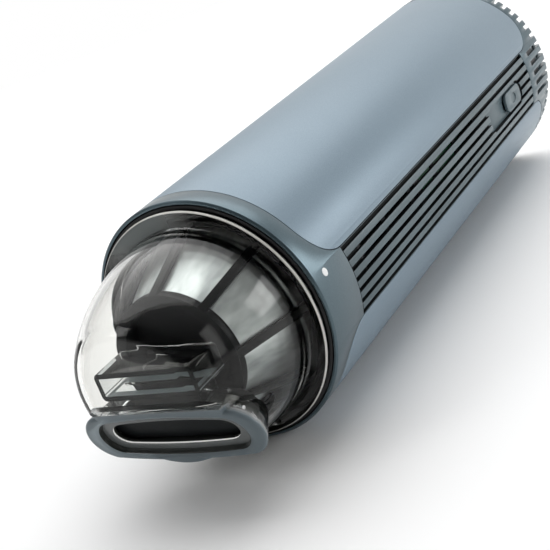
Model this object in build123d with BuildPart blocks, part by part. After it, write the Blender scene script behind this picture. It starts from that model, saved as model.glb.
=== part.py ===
from build123d import *
from math import cos, degrees, radians, sin, tan
import os

# Portable vacuum cleaner, lying on its side.
# The axis runs along Y with the dust cup's nose towards -Y, +Z is up and the floor is z = 0.
# Stations are distances behind the collar's front edge, negative in front of it.
# Radii are measured from the axis. Lengths are in millimetres and angles in degrees.

os.makedirs("parts", exist_ok=True)

# Whole body
body_radius = 37.0
body_length = 206.0
nose_reach = 38.5
overrun = 6.0
joint_gap = 0.35
seat_gap = 0.15
panel_gap = 0.25

# Metal shells, and the strips between them that hold the grilles
shell_thickness = 1.0
shell_clearance = 0.2
shell_front = 7.0
shell_rear_margin = 10.0
shell_corner = 12.0
strip_half_angle = 16.4

# Collar, with the pocket for the seal and the bayonet grooves
collar_depth = 9.5
collar_chamfer = 0.5
collar_lip = 1.0
pocket_depth = 3.0
pocket_step = 2.2
tongue_length = 10.75
collar_spigot_length = 2.0
collar_spigot_wall = 1.6

# Dust cup
cup_wall = 1.8
flange_thickness = 2.0
flange_inset = 1.2
spigot_depth = 8.0
dome_inset = 4.5
dome_overreach = 8.5
nose_rounding = 6.8
lug_count = 3
lug_angle = 18.0
lug_height = 1.3
lug_width = 2.4
lug_tip_margin = 0.9
lug_slack_angle = 1.5
twist_angle = 25.0

# Mouth of the cup: an oval passage on a plane that looks forward and down
mouth_setback = 5.7
mouth_drop_share = 0.4
mouth_tilt = 15.0
brow_angle = 60.0
lip_width_share = 1.54
lip_height = 18.2
lip_side_border = 4.7
lip_border = 2.5
oval_corner_width_share = 0.8
oval_corner_height_share = 0.84
passage_depth = 8.4
passage_side_taper = 1.8
passage_taper = 0.4
passage_back = 1.4
nozzle_side_wall = 3.0
nozzle_wall = 1.7
throat_depth = 2.0
throat_thickness = 1.3
throat_side_ledge = 3.3
throat_ledge = 2.3

# Flap behind the throat and its pin
flap_thickness = 1.0
flap_side_gap = 0.7
flap_height = 10.4
flap_drop = 8.2
flap_eye_length = 24.0
flap_pin_radius = 0.6
flap_eye_radius = 1.15
flap_pin_fit = 0.05
flap_pin_depth = 4.8
flap_pin_height = 3.9
flap_pin_bite = 0.6

# Clear duct on the roof of the passage
duct_width_share = 0.854
duct_height = 8.2
duct_bottom = -2.4
duct_setback = 5.1
duct_length = 12.0
duct_wall = 1.5
duct_corner = 1.6
duct_rib_width = 1.6
duct_rib_length = 2.4
duct_rib_inset = 0.5
port_side_margin = 2.8
port_length = 4.4

# Filter
filter_duct_gap = 2.4
filter_front_share = 0.65
filter_rear_inset = 2.1
filter_flange_thickness = 2.0
filter_seal_width = 3.4
filter_rim_width = 3.0
filter_rim_depth = 2.6
filter_rib_count = 8
filter_rib_width = 2.4
filter_rib_depth = 1.4
filter_cap_recess = 6.5
filter_wall = 1.5
mesh_thickness = 0.4
mesh_clearance = 0.1
pleat_count = 28
pleat_inset = 1.0
pleat_depth = 5.5
pleat_shift = 1.5
filter_seal_thickness = 1.4

# Fan
intake_thickness = 2.0
intake_hole_count = 8
intake_hole_radius = 4.2
intake_hole_ring = 13.0
intake_hub_hole = 5.5
intake_ledge = 1.5
fan_wall = 1.6
fan_eye_radius = 13.5
fan_cover_length = 22.0
blade_count = 9
blade_thickness = 1.2
blade_height = 9.0
blade_root_radius = 6.6
blade_tip_gap = 3.6
blade_sweep_angle = 55.0
impeller_plate = 1.5
impeller_hub_radius = 7.5
fan_clearance = 1.2
diffuser_plate = 1.6
diffuser_plate_gap = 3.2
diffuser_hub_radius = 9.0
vane_count = 11
vane_thickness = 1.2
vane_inset = 5.0
vane_sweep_angle = 18.0
blade_bow_share = 0.36

# Motor
shaft_radius = 2.0
shaft_end = 2.0
shaft_clearance = 0.6
bearing_radius = 6.5
bearing_width = 5.0
bearing_fit = 0.03
bearing_seat_wall = 1.5
press_fit = 0.05
motor_radius = 19.0
motor_length = 40.0
motor_wall = 1.0
stator_length = 24.0
stator_bore = 12.2
stator_slot_count = 6
stator_slot_width = 6.0
stator_yoke = 2.0
magnet_clearance = 0.6
mount_width = 6.0
rear_mount_radius = 24.0

# Chassis halves and their screws
chassis_wall = 2.0
bulkhead_thickness = 4.0
window_half_angle = 12.5
window_start = 24.0
window_pad_gap = 11.1
boss_radius = 3.6
boss_inset = 6.8
front_boss_gap = 5.5
rear_boss_margin = 28.0
screw_radius = 1.3
screw_head_radius = 2.4
screw_head_height = 1.6
screw_seat_drop = 6.0
screw_grip = 8.0

# Side grilles
grille_thickness = 2.0
grille_rear_margin = 24.4
slot_count = 7
slot_pitch_angle = 4.93
slot_width = 1.3
slat_depth = 1.5
window_count = 5
cross_rib_width = 2.6

# Slide switch
pad_length = 35.0
pad_width = 8.6
pad_corner = 3.6
pad_rear_margin = 11.5
pad_recess = 1.6
pad_depth = 3.4
thumb_length = 16.0
thumb_width = 6.8
thumb_corner = 2.6
thumb_rear_margin = 1.2
thumb_top_margin = 0.15
thumb_dimple_length = 5.4
thumb_dimple_width = 3.4
thumb_dimple_depth = 0.4
stem_length = 4.0
stem_width = 2.6
slide_travel = 6.0
switch_length = 14.0
switch_width = 8.0
switch_height = 4.2
switch_groove_depth = 1.6
board_thickness = 1.6
board_width = 22.0
board_overhang = 4.0

# Battery
cell_count = 3
cell_radius = 9.1
cell_rear_margin = 50.0
cell_spacing = 1.0
cell_fit = 0.2
pack_margin = 2.3
link_thickness = 0.3
link_width = 6.0
link_tab_radius = 4.5
cradle_thickness = 6.0
pocket_length = 3.0
battery_gap = 6.45
cradle_clearance = 0.3
cradle_window_width = 12.0
cradle_window_height = 14.0
cradle_window_inset = 13.5

# Rear ring and end cap
vent_count = 60
vent_width = 1.75
vent_front_margin = 2.2
vent_rear_margin = 2.0
vent_strip_extra = 11.0
vent_strip_count = 5
vent_groove_depth = 1.5
vent_notch_depth = 3.0
ring_wall = 5.0
ring_margin = 3.4
ring_rounding = 4.5
ring_spigot_length = 6.0
cap_thickness = 3.2
cap_dish_radius = 24.0
cap_dish_depth = 0.6
post_radius = 2.4
post_offset = 12.0
charge_board_radius = 17.0
socket_width = 8.9
socket_height = 3.2
socket_wall = 0.3
socket_depth = 6.8
socket_drop = 12.0
tongue_width = 6.7
tongue_thickness = 0.7
light_radius = 1.0
light_offset = 9.0

# Stations and radii that follow from the sizes above
axis_z = body_radius
collar_y = (nose_reach - body_length) / 2
shell_rear = body_length - shell_rear_margin
shell_inner = body_radius - shell_thickness
chassis_radius = shell_inner - shell_clearance
chassis_bore = chassis_radius - chassis_wall
strip_height = body_radius * sin(radians(strip_half_angle))
pocket_radius = body_radius - collar_lip
collar_bore = pocket_radius - pocket_step
spigot_radius = collar_bore - joint_gap
spigot_bore = spigot_radius - cup_wall
flange_radius = pocket_radius - flange_inset
dome_radius = flange_radius - dome_inset
dome_semi_length = nose_reach + dome_overreach
mouth_station = mouth_setback - nose_reach
mouth_drop = body_radius * mouth_drop_share
lip_width = body_radius * lip_width_share
mouth_width = lip_width - 2 * lip_side_border
mouth_height = lip_height - 2 * lip_border
passage_width = mouth_width - 2 * passage_side_taper
passage_height = mouth_height - 2 * passage_taper
nozzle_width = passage_width + 2 * nozzle_side_wall
nozzle_height = passage_height + 2 * nozzle_wall
throat_width = mouth_width - 2 * throat_side_ledge
throat_height = mouth_height - 2 * throat_ledge
flap_width = passage_width - 2 * flap_side_gap
flap_pin_reach = passage_width / 2 + flap_pin_bite
duct_front = duct_setback - nose_reach
duct_back = duct_front + duct_length
duct_width = body_radius * duct_width_share
port_width = duct_width - 2 * port_side_margin
groove_radius = spigot_radius + lug_height + joint_gap
lug_front = spigot_depth - lug_tip_margin - lug_width
collar_spigot_front = spigot_depth + joint_gap
collar_spigot_radius = collar_bore - seat_gap
filter_flange_front = spigot_depth + joint_gap
filter_flange_rear = filter_flange_front + filter_flange_thickness
filter_flange_radius = spigot_bore - joint_gap
filter_front = duct_back + filter_duct_gap
filter_rear_radius = filter_flange_radius - filter_rear_inset
filter_front_radius = filter_rear_radius * filter_front_share
pleat_outer_radius = filter_front_radius - pleat_inset
pleat_inner_radius = pleat_outer_radius - pleat_depth
filter_seal_rear = filter_flange_rear + filter_seal_thickness
intake_rear = filter_seal_rear + intake_thickness
fan_front = intake_rear + seat_gap
fan_radius = chassis_bore - mount_width / 2
fan_rear = fan_front + fan_cover_length
blade_tip_radius = fan_radius - fan_wall - blade_tip_gap
diffuser_plate_radius = fan_radius - fan_wall - diffuser_plate_gap
vane_root_radius = diffuser_plate_radius - vane_inset
impeller_front = fan_front + fan_wall + fan_clearance
impeller_rear = impeller_front + blade_height + impeller_plate
diffuser_front = impeller_rear + fan_clearance
diffuser_rear = fan_rear
front_bearing_front = diffuser_rear - bearing_width
motor_front = diffuser_rear + seat_gap
motor_rear = motor_front + motor_length
rear_bearing_rear = motor_rear - motor_wall
rear_bearing_front = rear_bearing_rear - bearing_width
front_mount_front = fan_front + (fan_cover_length - mount_width) / 2
stator_front = motor_front + (motor_length - stator_length) / 2
stator_rear = stator_front + stator_length
bulkhead_front = motor_rear - mount_width - (bulkhead_thickness - mount_width) / 2
boss_offset = chassis_bore - boss_inset
boss_front_station = motor_rear + front_boss_gap
cradle_front = boss_front_station + battery_gap
cell_front = cradle_front + cradle_thickness - pocket_length
pocket_floor = cell_front - 2 * link_thickness
cell_rear = body_length - cell_rear_margin
cradle_rear = cell_rear + cradle_thickness - pocket_length
cradle_radius = chassis_bore - cradle_clearance
cradle_window_rise = cradle_radius - cradle_window_inset
pack_radius = (cell_radius + cell_spacing / 2) / sin(radians(180 / cell_count))
pack_drop = cradle_radius - pack_margin - pack_radius - cell_radius
boss_rear_station = body_length - rear_boss_margin
chassis_front = collar_depth + seat_gap
grille_front = shell_front + tongue_length + panel_gap
grille_rear = body_length - grille_rear_margin
grille_inner = body_radius - grille_thickness
strip_radius = grille_inner - shell_clearance
strip_recess_angle = strip_half_angle + degrees(panel_gap / body_radius)
grille_half_angle = strip_half_angle - degrees(panel_gap / body_radius)
pad_rear = grille_rear - pad_rear_margin
pad_middle = pad_rear - pad_length / 2
window_stop = pad_rear - pad_length - window_pad_gap
window_pitch = (window_stop - window_start) / window_count
pad_radius = body_radius - pad_recess
pad_floor = pad_radius - pad_depth
thumb_middle = pad_rear - thumb_rear_margin - thumb_length / 2
switch_middle = thumb_middle - slide_travel / 2
thumb_bottom = pad_radius + joint_gap
thumb_top = body_radius - thumb_top_margin
switch_top = pad_floor - joint_gap
board_face = switch_top - switch_height
board_inner = board_face - board_thickness
board_rear = switch_middle + switch_length / 2 + board_overhang
cap_radius = body_radius - ring_wall - seat_gap
cap_front = body_length - cap_thickness
socket_rear = body_length - cap_dish_depth - seat_gap
socket_front = socket_rear - socket_depth

port_station = (
    mouth_station
    + (passage_depth - port_length / 2) * cos(radians(mouth_tilt))
    - nozzle_height / 2 * sin(radians(mouth_tilt))
)

spin = Axis((0, collar_y, axis_z), (0, 1, 0))
lengthwise = Plane(origin=(0, collar_y, axis_z), x_dir=(0, 1, 0), z_dir=(1, 0, 0))
parting = Plane(origin=(0, collar_y, axis_z), x_dir=(1, 0, 0), z_dir=(0, 0, 1))
mouth_plane = Plane(
    origin=(0, collar_y + mouth_station, axis_z - mouth_drop),
    x_dir=(1, 0, 0),
    z_dir=(0, -cos(radians(mouth_tilt)), -sin(radians(mouth_tilt))),
)
flap_plane = Plane(
    origin=mouth_plane.from_local_coords((0, flap_pin_height, -flap_pin_depth)),
    x_dir=mouth_plane.y_dir,
    z_dir=mouth_plane.x_dir,
)
sides = (0, 180)
ways = (1, -1)
boss_points = [
    (way * boss_offset, along) for way in ways for along in (boss_front_station, boss_rear_station)
]
lug_angles = [90 + 360 * lug / lug_count for lug in range(lug_count)]


# Point at a radius and an angle from the right
def polar(radius, angle):
    return (radius * cos(radians(angle)), radius * sin(radians(angle)))


# Plane square to the axis at a station, facing the front, with x to the right and y up
def station(distance):
    return Plane(origin=(0, collar_y + distance, axis_z), x_dir=(1, 0, 0), z_dir=(0, -1, 0))


# Plane through the axis whose second direction points outwards at an angle
def radial_plane(angle):
    turn = radians(angle)
    return Plane(
        origin=(0, collar_y, axis_z),
        x_dir=(0, 1, 0),
        z_dir=(sin(turn), 0, -cos(turn)),
    )


# Rectangle between two stations and two radii, for a profile that is spun or extruded
def band(start, stop, inner, outer, mode=Mode.ADD):
    with Locations(((start + stop) / 2, (inner + outer) / 2)):
        Rectangle(stop - start, outer - inner, mode=mode)


# Piece of a ring between two radii, around a middle angle
def arc_band(inner, outer, middle, half, mode=Mode.ADD):
    with BuildLine() as outline:
        outside = CenterArc((0, 0), outer, middle - half, 2 * half)
        inside = CenterArc((0, 0), inner, middle - half, 2 * half)
        Line(outside @ 0, inside @ 0)
        Line(outside @ 1, inside @ 1)
    make_face(outline.edges(), mode=mode)


# Flat oval of four arcs
def oval(width, height, mode=Mode.ADD):
    reach = width / 2
    rise = height / 2
    corner_x = reach * oval_corner_width_share
    corner_y = rise * oval_corner_height_share
    with BuildLine() as outline:
        ThreePointArc((-corner_x, corner_y), (0, rise), (corner_x, corner_y))
        ThreePointArc((corner_x, corner_y), (reach, 0), (corner_x, -corner_y))
        ThreePointArc((corner_x, -corner_y), (0, -rise), (-corner_x, -corner_y))
        ThreePointArc((-corner_x, -corner_y), (-reach, 0), (-corner_x, corner_y))
    make_face(outline.edges(), mode=mode)


# Side view of a metal shell, with its rounded corners, above or below the axis
def shell_outline(way, grow):
    height = body_radius + shell_corner
    with Locations(((shell_front + shell_rear) / 2, way * (strip_height + height / 2))):
        RectangleRounded(shell_rear - shell_front + 2 * grow, height + 2 * grow, shell_corner + grow)


# Outline of the switch pad in the side of the body
def pad_outline(grow):
    with Locations((pad_middle, 0)):
        RectangleRounded(pad_length + 2 * grow, pad_width + 2 * grow, pad_corner + grow)


# Curved blades round the axis, from a root radius to a tip radius
def swept_blades(count, root, tip, sweep, thickness):
    for blade in range(count):
        start = 360 * blade / count
        with BuildLine() as path:
            ThreePointArc(
                polar(root, start),
                polar((root + tip) / 2, start + sweep * blade_bow_share),
                polar(tip, start + sweep),
            )
        trace(path.edges(), line_width=thickness)


# Zigzag outline of pleated paper between two radii
def pleat_outline(inner, outer, mode=Mode.ADD):
    step = 360 / pleat_count
    points = []
    for pleat in range(pleat_count):
        points.append(polar(outer, pleat * step))
        points.append(polar(inner, pleat * step + step / 2))
    with BuildLine() as outline:
        Polyline(*points, close=True)
    make_face(outline.edges(), mode=mode)


# Comb of slats seen from the end, with slots cut in from outside
def slat_section(middle):
    arc_band(grille_inner, body_radius, middle, grille_half_angle)
    with PolarLocations(
        body_radius + (overrun - slat_depth) / 2,
        slot_count,
        start_angle=middle - slot_pitch_angle * (slot_count - 1) / 2,
        angular_range=slot_pitch_angle * slot_count,
    ):
        Rectangle(slat_depth + overrun, slot_width, mode=Mode.SUBTRACT)


# Three arms that join the ends of the cells, with a round tab on each
def link_outline(grow):
    with Locations((0, -pack_drop)):
        with PolarLocations(pack_radius / 2, cell_count, start_angle=-90):
            Rectangle(pack_radius + 2 * grow, link_width + 2 * grow)
        with PolarLocations(pack_radius, cell_count, start_angle=-90):
            Circle(link_tab_radius + grow)


# Disc that holds one end of the cells and one edge of the board
def cradle_outline():
    Circle(cradle_radius)
    with Locations((board_inner - seat_gap + body_radius / 2, 0)):
        Rectangle(body_radius, board_width + 2 * seat_gap, mode=Mode.SUBTRACT)
    with Locations((0, cradle_window_rise)):
        SlotOverall(2 * cradle_window_width, cradle_window_height, mode=Mode.SUBTRACT)


# Side profile of the dome from its base to the rounded nose, closed along the axis
def dome_profile(radius, semi_length, nose):
    with BuildLine() as outline:
        flank = EllipticalCenterArc((-flange_thickness, 0), semi_length, radius, 90, arc_size=90)
        Line(flank @ 1, (-flange_thickness, 0))
        Line((-flange_thickness, 0), flank @ 0)
    make_face(outline.edges())
    band(-semi_length - overrun - flange_thickness, -nose, 0, radius, mode=Mode.SUBTRACT)


# Dust cup, a clear dome that is cut back to its wide mouth, with a flange and a spigot with lugs
brow_rise = cup_wall * tan(radians(45 - brow_angle / 2))
with BuildPart() as cup_hollow:
    with BuildSketch(lengthwise) as hollow_profile:
        dome_profile(dome_radius - cup_wall, dome_semi_length - cup_wall, nose_reach - cup_wall)
        fillet(
            hollow_profile.vertices().group_by(Axis.X)[0].sort_by(Axis.Y)[-1],
            nose_rounding - cup_wall,
        )
    revolve(axis=spin)
    with BuildSketch(lengthwise):
        with BuildLine():
            Polyline(
                (-flange_thickness, 0),
                (-flange_thickness, dome_radius - cup_wall),
                (0, spigot_bore),
                (spigot_depth + overrun, spigot_bore),
                (spigot_depth + overrun, 0),
                close=True,
            )
        make_face()
    revolve(axis=spin)
    with BuildSketch(mouth_plane.offset(-cup_wall)):
        with Locations((0, lip_height / 2 + brow_rise - body_radius)):
            Rectangle(2 * body_radius, 2 * body_radius)
    extrude(amount=nose_reach, taper=-brow_angle, mode=Mode.SUBTRACT)

with BuildPart() as dust_cup:
    with BuildSketch(lengthwise) as cup_profile:
        dome_profile(dome_radius, dome_semi_length, nose_reach)
        fillet(cup_profile.vertices().group_by(Axis.X)[0].sort_by(Axis.Y)[-1], nose_rounding)
        band(-flange_thickness, 0, 0, flange_radius)
        band(0, spigot_depth, 0, spigot_radius)
    revolve(axis=spin)
    with BuildSketch(mouth_plane):
        with Locations((0, lip_height / 2 - body_radius)):
            Rectangle(2 * body_radius, 2 * body_radius)
    extrude(amount=nose_reach, taper=-brow_angle, mode=Mode.SUBTRACT)
    add(cup_hollow.part, mode=Mode.SUBTRACT)
    with BuildSketch(mouth_plane):
        oval(lip_width, lip_height)
    with BuildSketch(mouth_plane.offset(-passage_depth - passage_back)):
        oval(nozzle_width, nozzle_height)
    loft()
    with BuildSketch(mouth_plane):
        oval(mouth_width, mouth_height)
    with BuildSketch(mouth_plane.offset(-passage_depth)):
        oval(passage_width, passage_height)
    loft(mode=Mode.SUBTRACT)
    with BuildSketch(mouth_plane.offset(-throat_depth - throat_thickness)):
        oval(mouth_width, mouth_height)
        oval(throat_width, throat_height, mode=Mode.SUBTRACT)
    extrude(amount=throat_thickness)
    with BuildSketch(mouth_plane.offset(-passage_depth)):
        with Locations((0, nozzle_height / 2)):
            Rectangle(port_width, nozzle_height)
    extrude(amount=port_length, mode=Mode.SUBTRACT)
    with BuildSketch(station(lug_front + lug_width)):
        for lug in lug_angles:
            arc_band(spigot_radius - cup_wall / 2, spigot_radius + lug_height, lug, lug_angle / 2)
    extrude(amount=lug_width)
    with BuildSketch(flap_plane.offset(flap_pin_reach + seat_gap)):
        Circle(flap_pin_radius + press_fit)
    extrude(amount=-2 * body_radius, mode=Mode.SUBTRACT)

# Clear box on the roof of the passage, open to the front, with a skirt round the port below it
with BuildPart() as nozzle_block:
    with BuildSketch(mouth_plane):
        oval(lip_width + 2 * seat_gap, lip_height + 2 * seat_gap)
    with BuildSketch(mouth_plane.offset(-passage_depth - passage_back - seat_gap)):
        oval(nozzle_width + 2 * seat_gap, nozzle_height + 2 * seat_gap)
    loft()

with BuildPart() as inlet_duct:
    with BuildSketch(station(duct_back)):
        with Locations((0, duct_bottom + duct_height / 2)):
            RectangleRounded(duct_width, duct_height, duct_corner)
    extrude(amount=duct_back - duct_front)
    with BuildSketch(parting.offset(duct_bottom + duct_wall / 2)):
        with Locations((0, port_station)):
            Rectangle(port_width + 2 * duct_wall, port_length + 2 * duct_wall)
        with Locations((0, duct_front + duct_rib_inset + duct_rib_length / 2)):
            with GridLocations(duct_width - 2 * duct_corner - duct_rib_width, 0, 2, 1):
                Rectangle(duct_rib_width, duct_rib_length)
    extrude(amount=-duct_height)
    with BuildSketch(station(duct_back - duct_wall)):
        with Locations((0, duct_bottom + duct_height / 2)):
            Rectangle(duct_width - 2 * duct_wall, duct_height - 2 * duct_wall)
    extrude(amount=duct_back - duct_front, mode=Mode.SUBTRACT)
    with BuildSketch(parting.offset(duct_bottom + 2 * duct_wall)):
        with Locations((0, port_station)):
            Rectangle(port_width, port_length)
    extrude(amount=-2 * duct_height, mode=Mode.SUBTRACT)
    add(nozzle_block.part, mode=Mode.SUBTRACT)

# Seal ring behind the cup's flange, in the collar's pocket
with BuildPart() as cup_seal:
    with BuildSketch(lengthwise):
        band(0, pocket_depth - joint_gap, spigot_radius + press_fit, pocket_radius - joint_gap)
    revolve(axis=spin)

# Pin across the passage, and the flap that hangs on it
with BuildPart() as flap_pin:
    with BuildSketch(flap_plane):
        Circle(flap_pin_radius)
    extrude(amount=flap_pin_reach, both=True)

with BuildPart() as inlet_flap:
    with BuildSketch(mouth_plane.offset(-flap_pin_depth - flap_thickness / 2)):
        oval(flap_width, flap_height)
        with Locations((0, flap_pin_height - flap_eye_radius + flap_height / 2)):
            Rectangle(flap_width, flap_height, mode=Mode.SUBTRACT)
        with Locations((0, flap_pin_height - flap_drop - flap_height / 2)):
            Rectangle(flap_width, flap_height, mode=Mode.SUBTRACT)
    extrude(amount=flap_thickness)
    with BuildSketch(flap_plane):
        Circle(flap_eye_radius)
        band(-flap_drop / 2, 0, -flap_thickness / 2, flap_thickness / 2)
        Circle(flap_pin_radius + flap_pin_fit, mode=Mode.SUBTRACT)
    extrude(amount=flap_eye_length / 2, both=True)

# Collar that carries the bayonet grooves, with a tongue along each side strip
with BuildPart() as front_collar:
    with BuildSketch(lengthwise):
        band(0, shell_front + tongue_length, shell_inner, body_radius)
    revolve(axis=spin)
    with BuildSketch(lengthwise):
        for way in ways:
            shell_outline(way, panel_gap)
    extrude(amount=body_radius + overrun, both=True, mode=Mode.SUBTRACT)
    with BuildSketch(lengthwise):
        band(0, shell_front - panel_gap, collar_bore, body_radius - shell_thickness / 2)
        band(0, collar_depth, collar_bore, chassis_radius)
        band(collar_spigot_front, collar_depth, collar_spigot_radius - collar_spigot_wall, chassis_radius)
        band(
            collar_spigot_front,
            collar_depth + collar_spigot_length,
            collar_spigot_radius - collar_spigot_wall,
            collar_spigot_radius,
        )
    revolve(axis=spin)
    with BuildSketch(lengthwise):
        band(-overrun, pocket_depth, 0, pocket_radius)
        with BuildLine():
            Polyline(
                (0, body_radius - collar_chamfer),
                (collar_chamfer, body_radius),
                (0, body_radius),
                close=True,
            )
        make_face()
    revolve(axis=spin, mode=Mode.SUBTRACT)
    with BuildSketch(station(lug_front + lug_width + joint_gap)):
        for lug in lug_angles:
            arc_band(
                collar_bore - overrun,
                groove_radius,
                lug + twist_angle / 2,
                (lug_angle + twist_angle) / 2 + lug_slack_angle,
            )
    extrude(amount=lug_width + 2 * joint_gap, mode=Mode.SUBTRACT)
    with BuildSketch(station(lug_front + lug_width)):
        for lug in lug_angles:
            arc_band(
                collar_bore - overrun,
                groove_radius,
                lug + twist_angle,
                lug_angle / 2 + lug_slack_angle,
            )
    extrude(amount=lug_front + lug_width - pocket_depth / 2, mode=Mode.SUBTRACT)

# Filter: cage with ribs and a sunken cap, mesh under the ribs, pleated paper and seal
cone_slope = (filter_rear_radius - filter_front_radius) / (filter_flange_front - filter_front)
with BuildPart() as filter_frame:
    with BuildSketch(lengthwise):
        band(
            filter_flange_front,
            filter_flange_rear,
            pleat_outer_radius + mesh_clearance,
            filter_flange_radius,
        )
        band(
            filter_front,
            filter_front + filter_rim_depth,
            filter_front_radius - filter_rim_width,
            filter_front_radius,
        )
        band(
            filter_front,
            filter_front + filter_cap_recess,
            filter_front_radius - filter_rim_width,
            filter_front_radius - filter_rim_width + filter_wall,
        )
        band(
            filter_front + filter_cap_recess - filter_wall,
            filter_front + filter_cap_recess,
            0,
            filter_front_radius - filter_rim_width + filter_wall,
        )
    revolve(axis=spin)
    for rib in range(filter_rib_count):
        with BuildSketch(radial_plane(90 + 360 * rib / filter_rib_count)):
            with BuildLine():
                Polyline(
                    (filter_front, filter_front_radius - filter_rib_depth),
                    (filter_front, filter_front_radius),
                    (filter_flange_front, filter_rear_radius),
                    (filter_flange_rear, filter_rear_radius),
                    (filter_flange_rear, filter_rear_radius - filter_rib_depth),
                    (filter_flange_front, filter_rear_radius - filter_rib_depth),
                    close=True,
                )
            make_face()
        extrude(amount=filter_rib_width / 2, both=True)

mesh_front = filter_front + filter_rim_depth + mesh_clearance
mesh_front_radius = filter_front_radius - filter_rib_depth - mesh_clearance
mesh_front_radius += cone_slope * (mesh_front - filter_front)
mesh_rear_radius = filter_rear_radius - filter_rib_depth - mesh_clearance
with BuildPart() as filter_mesh:
    with BuildSketch(lengthwise):
        with BuildLine():
            Polyline(
                (mesh_front, mesh_front_radius),
                (filter_flange_front - mesh_clearance, mesh_rear_radius),
                (filter_flange_front - mesh_clearance, mesh_rear_radius - mesh_thickness),
                (mesh_front, mesh_front_radius - mesh_thickness),
                close=True,
            )
        make_face()
    revolve(axis=spin)

with BuildPart() as filter_pleats:
    with BuildSketch(station(filter_flange_rear)):
        pleat_outline(pleat_inner_radius + pleat_shift, pleat_outer_radius)
        pleat_outline(pleat_inner_radius, pleat_outer_radius - pleat_shift, mode=Mode.SUBTRACT)
    extrude(amount=filter_flange_rear - filter_front - filter_cap_recess)

with BuildPart() as filter_seal:
    with BuildSketch(lengthwise):
        band(
            filter_flange_rear,
            filter_seal_rear,
            filter_flange_radius - filter_seal_width,
            filter_flange_radius,
        )
    revolve(axis=spin)

# Fan: plate with intake holes, round cover, impeller and diffuser
with BuildPart() as intake_plate:
    with BuildSketch(station(intake_rear)):
        Circle(chassis_bore - seat_gap)
        Circle(intake_hub_hole, mode=Mode.SUBTRACT)
        with PolarLocations(intake_hole_ring, intake_hole_count):
            Circle(intake_hole_radius, mode=Mode.SUBTRACT)
    extrude(amount=intake_thickness)

with BuildPart() as fan_cover:
    with BuildSketch(lengthwise):
        band(fan_front, fan_rear, fan_radius - fan_wall, fan_radius)
        band(fan_front, fan_front + fan_wall, fan_eye_radius, fan_radius)
    revolve(axis=spin)

with BuildPart() as impeller:
    with BuildSketch(lengthwise):
        band(impeller_front, impeller_rear, shaft_radius + press_fit, impeller_hub_radius)
        band(impeller_rear - impeller_plate, impeller_rear, shaft_radius + press_fit, blade_tip_radius)
    revolve(axis=spin)
    with BuildSketch(station(impeller_rear - impeller_plate / 2)):
        swept_blades(blade_count, blade_root_radius, blade_tip_radius, blade_sweep_angle, blade_thickness)
    extrude(amount=blade_height + impeller_plate / 2)

with BuildPart() as diffuser:
    with BuildSketch(lengthwise):
        band(
            diffuser_front,
            diffuser_front + diffuser_plate,
            shaft_radius + shaft_clearance,
            diffuser_plate_radius,
        )
        band(diffuser_front, diffuser_rear, bearing_radius + press_fit, diffuser_hub_radius)
    revolve(axis=spin)
    with BuildSketch(station(diffuser_rear)):
        swept_blades(
            vane_count,
            vane_root_radius,
            fan_radius - fan_wall - vane_thickness / 2 - seat_gap,
            vane_sweep_angle,
            vane_thickness,
        )
    extrude(amount=diffuser_rear - diffuser_front)

# Motor: can, stator, magnet, shaft, two bearings and two rubber mounts
with BuildPart() as motor_can:
    with BuildSketch(lengthwise):
        band(motor_front, motor_rear, motor_radius - motor_wall, motor_radius)
        band(motor_front, motor_front + motor_wall, shaft_radius + shaft_clearance, motor_radius)
        band(rear_bearing_rear, motor_rear, shaft_radius + shaft_clearance, motor_radius)
        band(
            rear_bearing_front,
            rear_bearing_rear + motor_wall / 2,
            bearing_radius + press_fit,
            bearing_radius + press_fit + bearing_seat_wall,
        )
    revolve(axis=spin)

with BuildPart() as motor_stator:
    with BuildSketch(station(stator_rear)):
        Circle(motor_radius - motor_wall - press_fit)
        Circle(stator_bore, mode=Mode.SUBTRACT)
        with PolarLocations(stator_bore, stator_slot_count):
            Rectangle(
                2 * (motor_radius - motor_wall - stator_yoke - stator_bore),
                stator_slot_width,
                mode=Mode.SUBTRACT,
            )
    extrude(amount=stator_length)

with BuildPart() as rotor_magnet:
    with BuildSketch(lengthwise):
        band(stator_front, stator_rear, shaft_radius + press_fit, stator_bore - magnet_clearance)
    revolve(axis=spin)

with BuildPart() as rotor_shaft:
    with BuildSketch(station(rear_bearing_rear - seat_gap)):
        Circle(shaft_radius)
    extrude(amount=rear_bearing_rear - seat_gap - impeller_front + shaft_end)

with BuildPart() as front_bearing:
    with BuildSketch(lengthwise):
        band(front_bearing_front, diffuser_rear, shaft_radius + bearing_fit, bearing_radius)
    revolve(axis=spin)

with BuildPart() as rear_bearing:
    with BuildSketch(lengthwise):
        band(rear_bearing_front, rear_bearing_rear, shaft_radius + bearing_fit, bearing_radius)
    revolve(axis=spin)

with BuildPart() as front_mount:
    with BuildSketch(lengthwise):
        band(
            front_mount_front,
            front_mount_front + mount_width,
            fan_radius + press_fit,
            chassis_bore - press_fit,
        )
    revolve(axis=spin)

with BuildPart() as rear_mount:
    with BuildSketch(lengthwise):
        band(motor_rear - mount_width, motor_rear, motor_radius + press_fit, rear_mount_radius)
    revolve(axis=spin)

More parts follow.
